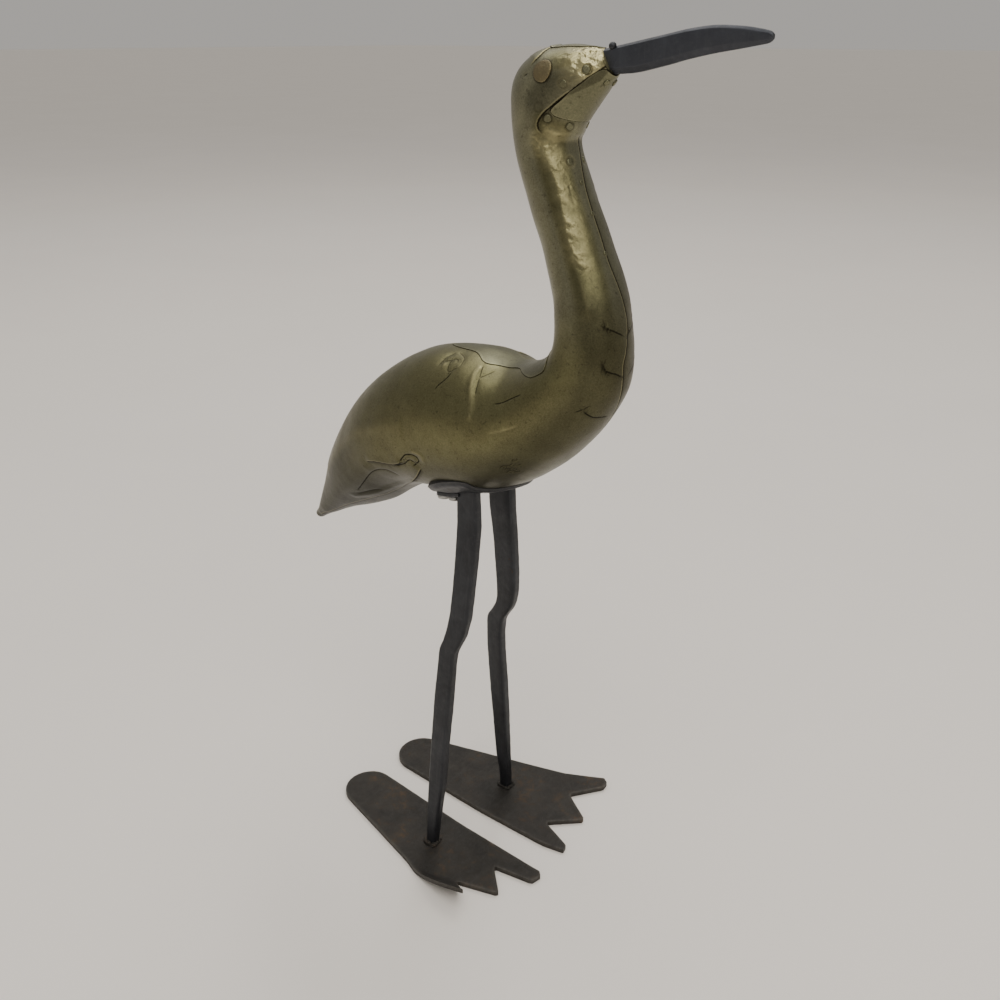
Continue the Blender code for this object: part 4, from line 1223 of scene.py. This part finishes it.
def head_tree():
    tree, given, out = new_group(
        "round_heads",
        [("Seats", GEOMETRY, None), ("Radius", NUMBER, 0.0015), ("Rise", NUMBER, 0.0011),
         ("Flatness", NUMBER, 0.62), ("Finish", MATERIAL, None)],
        [("Heads", GEOMETRY)], "GeometryNodeTree",
    )
    ball = put(tree, "GeometryNodeMeshUVSphere", {"Segments": 28, "Rings": 18, "Radius": 1.0}).outputs["Mesh"]
    spot = put(tree, "GeometryNodeInputPosition").outputs[0]
    parts = put(tree, "ShaderNodeSeparateXYZ", {0: spot}).outputs
    top = maths(tree, "SMOOTH_MIN", parts["Z"], given["Flatness"], 0.25)
    flat = put(tree, "ShaderNodeCombineXYZ", {"X": parts["X"], "Y": parts["Y"], "Z": top}).outputs[0]
    shaped = put(tree, "GeometryNodeSetPosition", {"Geometry": ball, "Position": flat}).outputs[0]
    size = put(tree, "ShaderNodeCombineXYZ", {"X": given["Radius"], "Y": given["Radius"], "Z": given["Rise"]})
    head = put(tree, "GeometryNodeTransform", {"Geometry": shaped, "Scale": size.outputs[0]}).outputs[0]
    away = put(tree, "GeometryNodeInputNamedAttribute", {"Name": "away"}, data_type="FLOAT_VECTOR").outputs[0]
    wide = put(tree, "GeometryNodeInputNamedAttribute", {"Name": "size"}, data_type="FLOAT").outputs[0]
    turn = put(tree, "FunctionNodeAlignRotationToVector", {"Vector": away}, axis="Z").outputs[0]
    sit = put(tree, "GeometryNodeInstanceOnPoints",
              {"Points": given["Seats"], "Instance": head, "Rotation": turn, "Scale": wide}).outputs[0]
    real = put(tree, "GeometryNodeRealizeInstances", {"Geometry": sit}).outputs[0]
    soft = put(tree, "GeometryNodeSetShadeSmooth", {"Geometry": real}).outputs[0]
    done = put(tree, "GeometryNodeSetMaterial", {"Geometry": soft, "Material": given["Finish"]}).outputs[0]
    tree.links.new(done, out["Heads"])
    return tree


def baked(holder, tree, values):
    """Runs a node tree on an object and returns its result as a plain mesh."""
    modifier = holder.modifiers.new(tree.name, "NODES")
    modifier.node_group = tree
    sockets = {item.name: item.identifier for item in tree.interface.items_tree if item.in_out == "INPUT"}
    for word, value in values.items():
        modifier[sockets[word]] = value
    bpy.context.view_layer.update()
    result = bpy.data.meshes.new_from_object(holder.evaluated_get(bpy.context.evaluated_depsgraph_get()))
    holder.modifiers.remove(modifier)
    bpy.data.objects.remove(holder)
    return result


def seats_holder(name, seats):
    """A mesh of bare points from (point, way it faces, size)."""
    mesh = bpy.data.meshes.new(name)
    mesh.from_pydata([tuple(point) for point, _, _ in seats], [], [])
    away = mesh.attributes.new("away", "FLOAT_VECTOR", "POINT")
    away.data.foreach_set("vector", np.float32([list(way) for _, way, _ in seats]).ravel())
    size = mesh.attributes.new("size", "FLOAT", "POINT")
    size.data.foreach_set("value", np.float32([wide for _, _, wide in seats]))
    holder = bpy.data.objects.new(name, mesh)
    bpy.context.scene.collection.objects.link(holder)
    return holder


heads = head_tree()

# %% [markdown]
# ## Where the heads sit
# The brass rivets hold the cheek, the throat and the collar, and three small nails run down the neck's front
# seam. Two steel bolts hold each flange below the hip. They are brighter than the iron around them.

# %% Seat the heads
RIVETS = {
    "cheek_rivet": (16.42, 99.5, 0.0, 1.05), "jaw_rivet": (15.43, 109, -0.15, 0.95),
    "throat_rivet": (16.55, 162, 0.4, 0.95), "collar_rivet": (13.62, 121, 0.0, 1.0),
    "neck_rivet": (13.5, 155, 0.0, 1.0), "breast_rivet": (11.58, 160, -0.1, 0.95),
}
SEAM_NAILS = [(11.1, 171), (10.5, 171), (9.85, 171)]


PLATE_TOP = 0.3


def seat_on_body(place, angle, height, size):
    """A seat on the skin's own relief, or on a plate where the height is above the plate's top."""
    point, normal, _, _ = body_frame(np.array([place]), np.array([angle]))
    height += relief_at(np.array([place]), np.degrees([angle]))[0] if height < PLATE_TOP else 0
    return point[0] + normal[0] * height * MM, normal[0], size


rivet_seats, rivet_nodes = [], []
for name, (place, angle, height, size) in RIVETS.items():
    for word, side in (("right", -1), ("left", 1)):
        rivet_seats.append(seat_on_body(place, side * math.radians(angle), height, size))
        rivet_nodes.append(f"{word}_{name}")
for i, (place, angle) in enumerate(SEAM_NAILS):
    rivet_seats.append(seat_on_body(place, -math.radians(angle), 0.0, 0.62))
    rivet_nodes.append(f"seam_nail_{i + 1}")
rivet_mesh = baked(seats_holder("rivet_seats", rivet_seats), heads, {"Rise": 0.0008, "Finish": brass_plate})
place_piece("brass_rivets", rivet_mesh, brass_plate, rivet_nodes)


def steel_finish():
    finish, tree = start_metal("bolt_steel", 1.0)
    spots = use_group(tree, mottle, {"Cloud size": 400.0, "Fleck size": 2000.0, "Seed": 20.0})
    lines = use_group(tree, rubbed, {"Scratch size": 1200.0})
    colour = mix(tree, spots["Clouds"], (0.42, 0.42, 0.41, 1), (0.25, 0.245, 0.235, 1))
    gloss = span(tree, spots["Clouds"], 0.0, 1.0, 0.24, 0.42)
    end_metal(tree, colour, gloss, lines["Scratches"], 0.0001, 0.5)
    return finish


bolt_steel = steel_finish()
bolt_seats, bolt_nodes = [], []
for word, side in (("right", -1), ("left", 1)):
    for i, share in enumerate((0.4, 0.86)):
        x = HIP_REAR + FLANGE_THICKNESS - (FLANGE_LENGTH + FLANGE_THICKNESS) * share
        at = np.array([x, side * HIP_STANCE, 0]) * MM + MIDDLE
        tilt_x = (under_hip(at[0] + MM, at[1]) - under_hip(at[0] - MM, at[1])) / (2 * MM)
        tilt_y = (under_hip(at[0], at[1] + MM) - under_hip(at[0], at[1] - MM)) / (2 * MM)
        away = unit(np.array([tilt_x, tilt_y, -1.0]))
        at[2] = under_hip(at[0], at[1]) - FLANGE_THICKNESS * MM
        bolt_seats.append((at, away, 1.0))
        bolt_nodes.append(f"{word}_hip_bolt_{i + 1}")
bolt_mesh = baked(
    seats_holder("bolt_seats", bolt_seats), heads,
    {"Radius": 0.00285, "Rise": 0.0019, "Flatness": 0.75, "Finish": bolt_steel})
place_piece("hip_bolts", bolt_mesh, bolt_steel, bolt_nodes)
stud_low, stud_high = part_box("bill_stud")
stud_at = np.array((stud_low + stud_high) / 2)
stud_mesh = baked(
    seats_holder("stud_seat", [(stud_at, unit(np.array([0, -0.53, 0.85])), 1.0)]), heads,
    {"Radius": 0.0014, "Rise": 0.0013, "Flatness": 0.95, "Finish": black_iron})
place_piece("root_stud", stud_mesh, black_iron, ["bill_stud"])


# %% [markdown]
# ## Weld beads
# The legs are welded to the feet by hand. A weld is a chain of drops along the joint, so a node tree walks
# the leg's outline and sets a rough drop at each step, with a fixed seed for their sizes.

# %% Weld beads
def weld_tree():
    tree, given, out = new_group(
        "weld_drops",
        [("Path", GEOMETRY, None), ("Drop size", NUMBER, 0.0012), ("Spacing", NUMBER, 0.0010),
         ("Seed", "NodeSocketInt", 4), ("Finish", MATERIAL, None)],
        [("Weld", GEOMETRY)], "GeometryNodeTree",
    )
    path = put(tree, "GeometryNodeMeshToCurve", {"Mesh": given["Path"]}).outputs[0]
    steps = put(tree, "GeometryNodeResampleCurve", {"Curve": path, "Length": given["Spacing"]}, mode="LENGTH")
    drop = put(tree, "GeometryNodeMeshIcoSphere", {"Radius": given["Drop size"], "Subdivisions": 3}).outputs[0]
    sizes = put(tree, "FunctionNodeRandomValue", data_type="FLOAT")
    tree.links.new(given["Seed"], sizes.inputs["Seed"])
    sizes.inputs[2].default_value, sizes.inputs[3].default_value = 0.45, 1.3
    sit = put(tree, "GeometryNodeInstanceOnPoints",
              {"Points": steps.outputs[0], "Instance": drop, "Scale": sizes.outputs[1]}).outputs[0]
    real = put(tree, "GeometryNodeRealizeInstances", {"Geometry": sit}).outputs[0]
    rough = put(tree, "ShaderNodeTexNoise", {"Scale": 900.0, "Detail": 2.0}).outputs["Color"]
    push = put(tree, "ShaderNodeVectorMath", {0: rough, 1: (0.5, 0.5, 0.5)}, operation="SUBTRACT").outputs[0]
    push = put(tree, "ShaderNodeVectorMath", {0: push, "Scale": 0.0016}, operation="SCALE").outputs[0]
    moved = put(tree, "GeometryNodeSetPosition", {"Geometry": real, "Offset": push}).outputs[0]
    soft = put(tree, "GeometryNodeSetShadeSmooth", {"Geometry": moved}).outputs[0]
    done = put(tree, "GeometryNodeSetMaterial", {"Geometry": soft, "Material": given["Finish"]}).outputs[0]
    tree.links.new(done, out["Weld"])
    return tree


WELD_OUT, WELD_HALF = 0.3, 2.9
weld = weld_tree()
for word, side in (("right", -1), ("left", 1)):
    _, rear, front = (RIGHT_LEG if side < 0 else LEFT_LEG)[0]
    rear, front = rear - WELD_OUT, front + WELD_OUT
    corners = [(rear, -WELD_HALF), (front, -WELD_HALF), (front, WELD_HALF), (rear, WELD_HALF)]
    loop = round_corners([(x, side * STANCE + y, FOOT_THICKNESS + 0.15) for x, y in corners], 1.2, 3, 3)
    mesh = bpy.data.meshes.new("weld_path")
    loop = [np.array(p) * MM + MIDDLE for p in loop]
    mesh.from_pydata([tuple(p) for p in loop], [(i, (i + 1) % len(loop)) for i in range(len(loop))], [])
    holder = bpy.data.objects.new("weld_path", mesh)
    bpy.context.scene.collection.objects.link(holder)
    bead = baked(holder, weld, {"Finish": foot_iron, "Seed": 4 + side})
    place_piece(f"{word}_foot_weld", bead, foot_iron)

# %% [markdown]
# ## Floor, light and camera
# The bird stands on a plain pale floor in soft light. A lamp in front on its right side draws the lit strip of
# the neck, two wide ones light the back and the floor, and a faint even light fills the rest. The camera
# looks down a little from the right and ahead of the bird.

# %% Floor and light
floor_mesh = bpy.data.meshes.new("pale_floor")
FLOOR_REACH = 30
corners = [(x * FLOOR_REACH, y * FLOOR_REACH, 0) for x, y in ((-1, -1), (1, -1), (1, 1), (-1, 1))]
floor_mesh.from_pydata(corners, [], [(0, 1, 2, 3)])
floor = bpy.data.objects.new("pale_floor", floor_mesh)
bpy.context.scene.collection.objects.link(floor)
floor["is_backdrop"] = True
pale = bpy.data.materials.new("pale_floor")
pale.use_nodes = True
shade = use_group(pale.node_tree, mottle, {"Cloud size": 3.0, "Fleck size": 90.0, "Seed": 2.0})
pale_colour = mix(pale.node_tree, shade["Clouds"], (0.86, 0.815, 0.76, 1), (0.84, 0.795, 0.74, 1))
pale.node_tree.links.new(pale_colour, pale.node_tree.nodes["Principled BSDF"].inputs["Base Color"])
pale.node_tree.nodes["Principled BSDF"].inputs["Roughness"].default_value = 0.75
floor_mesh.materials.append(pale)

world = bpy.data.worlds.new("studio")
world.use_nodes = True
world.node_tree.nodes["Background"].inputs["Color"].default_value = (1.0, 0.958, 0.905, 1)
world.node_tree.nodes["Background"].inputs["Strength"].default_value = 0.43
bpy.context.scene.world = world


def soft_lamp(name, at, toward, size, power, colour=(1, 1, 1)):
    data = bpy.data.lights.new(name, "AREA")
    data.shape, data.size, data.energy, data.color = "DISK", size, power, colour
    lamp = bpy.data.objects.new(name, data)
    lamp.location = at
    lamp.rotation_euler = (Vector(toward) - Vector(at)).to_track_quat("-Z", "Y").to_euler()
    bpy.context.scene.collection.objects.link(lamp)


soft_lamp("front_right_lamp", (0.95, -0.45, 1.0), (0.0, 0.0, 0.3), 0.9, 4.4, (1.0, 0.95, 0.86))
soft_lamp("overhead_lamp", (-0.5, 0.7, 2.2), (0.0, 0.0, 0.1), 2.6, 24, (1.0, 0.98, 0.95))
soft_lamp("front_floor_lamp", (0.5, -0.9, 2.0), (0.1, -0.3, 0.0), 1.6, 14, (1.0, 0.98, 0.95))
sky = bpy.data.lights.new("even_light", "SUN")
sky.energy, sky.angle, sky.color = 0.3, math.radians(14), (1.0, 0.98, 0.95)
sky_lamp = bpy.data.objects.new("even_light", sky)
sky_lamp.rotation_euler = (math.radians(-30), math.radians(-18), 0)
bpy.context.scene.collection.objects.link(sky_lamp)

# %% Camera
camera_data = bpy.data.cameras.new("camera")
camera_data.lens, camera_data.sensor_width = 36.0, 36.0
camera_data.clip_start, camera_data.clip_end = 0.01, 60.0
camera = bpy.data.objects.new("camera", camera_data)
camera.location = (0.28367658, -0.33465722, 0.4031)
camera.rotation_euler = (math.radians(65), 0, math.radians(40))
bpy.context.scene.collection.objects.link(camera)
bpy.context.scene.camera = camera

# %% The visual box
bpy.context.view_layer.update()
low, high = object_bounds()
print("visual box in mm", [round(1000 * v, 1) for v in high - low])
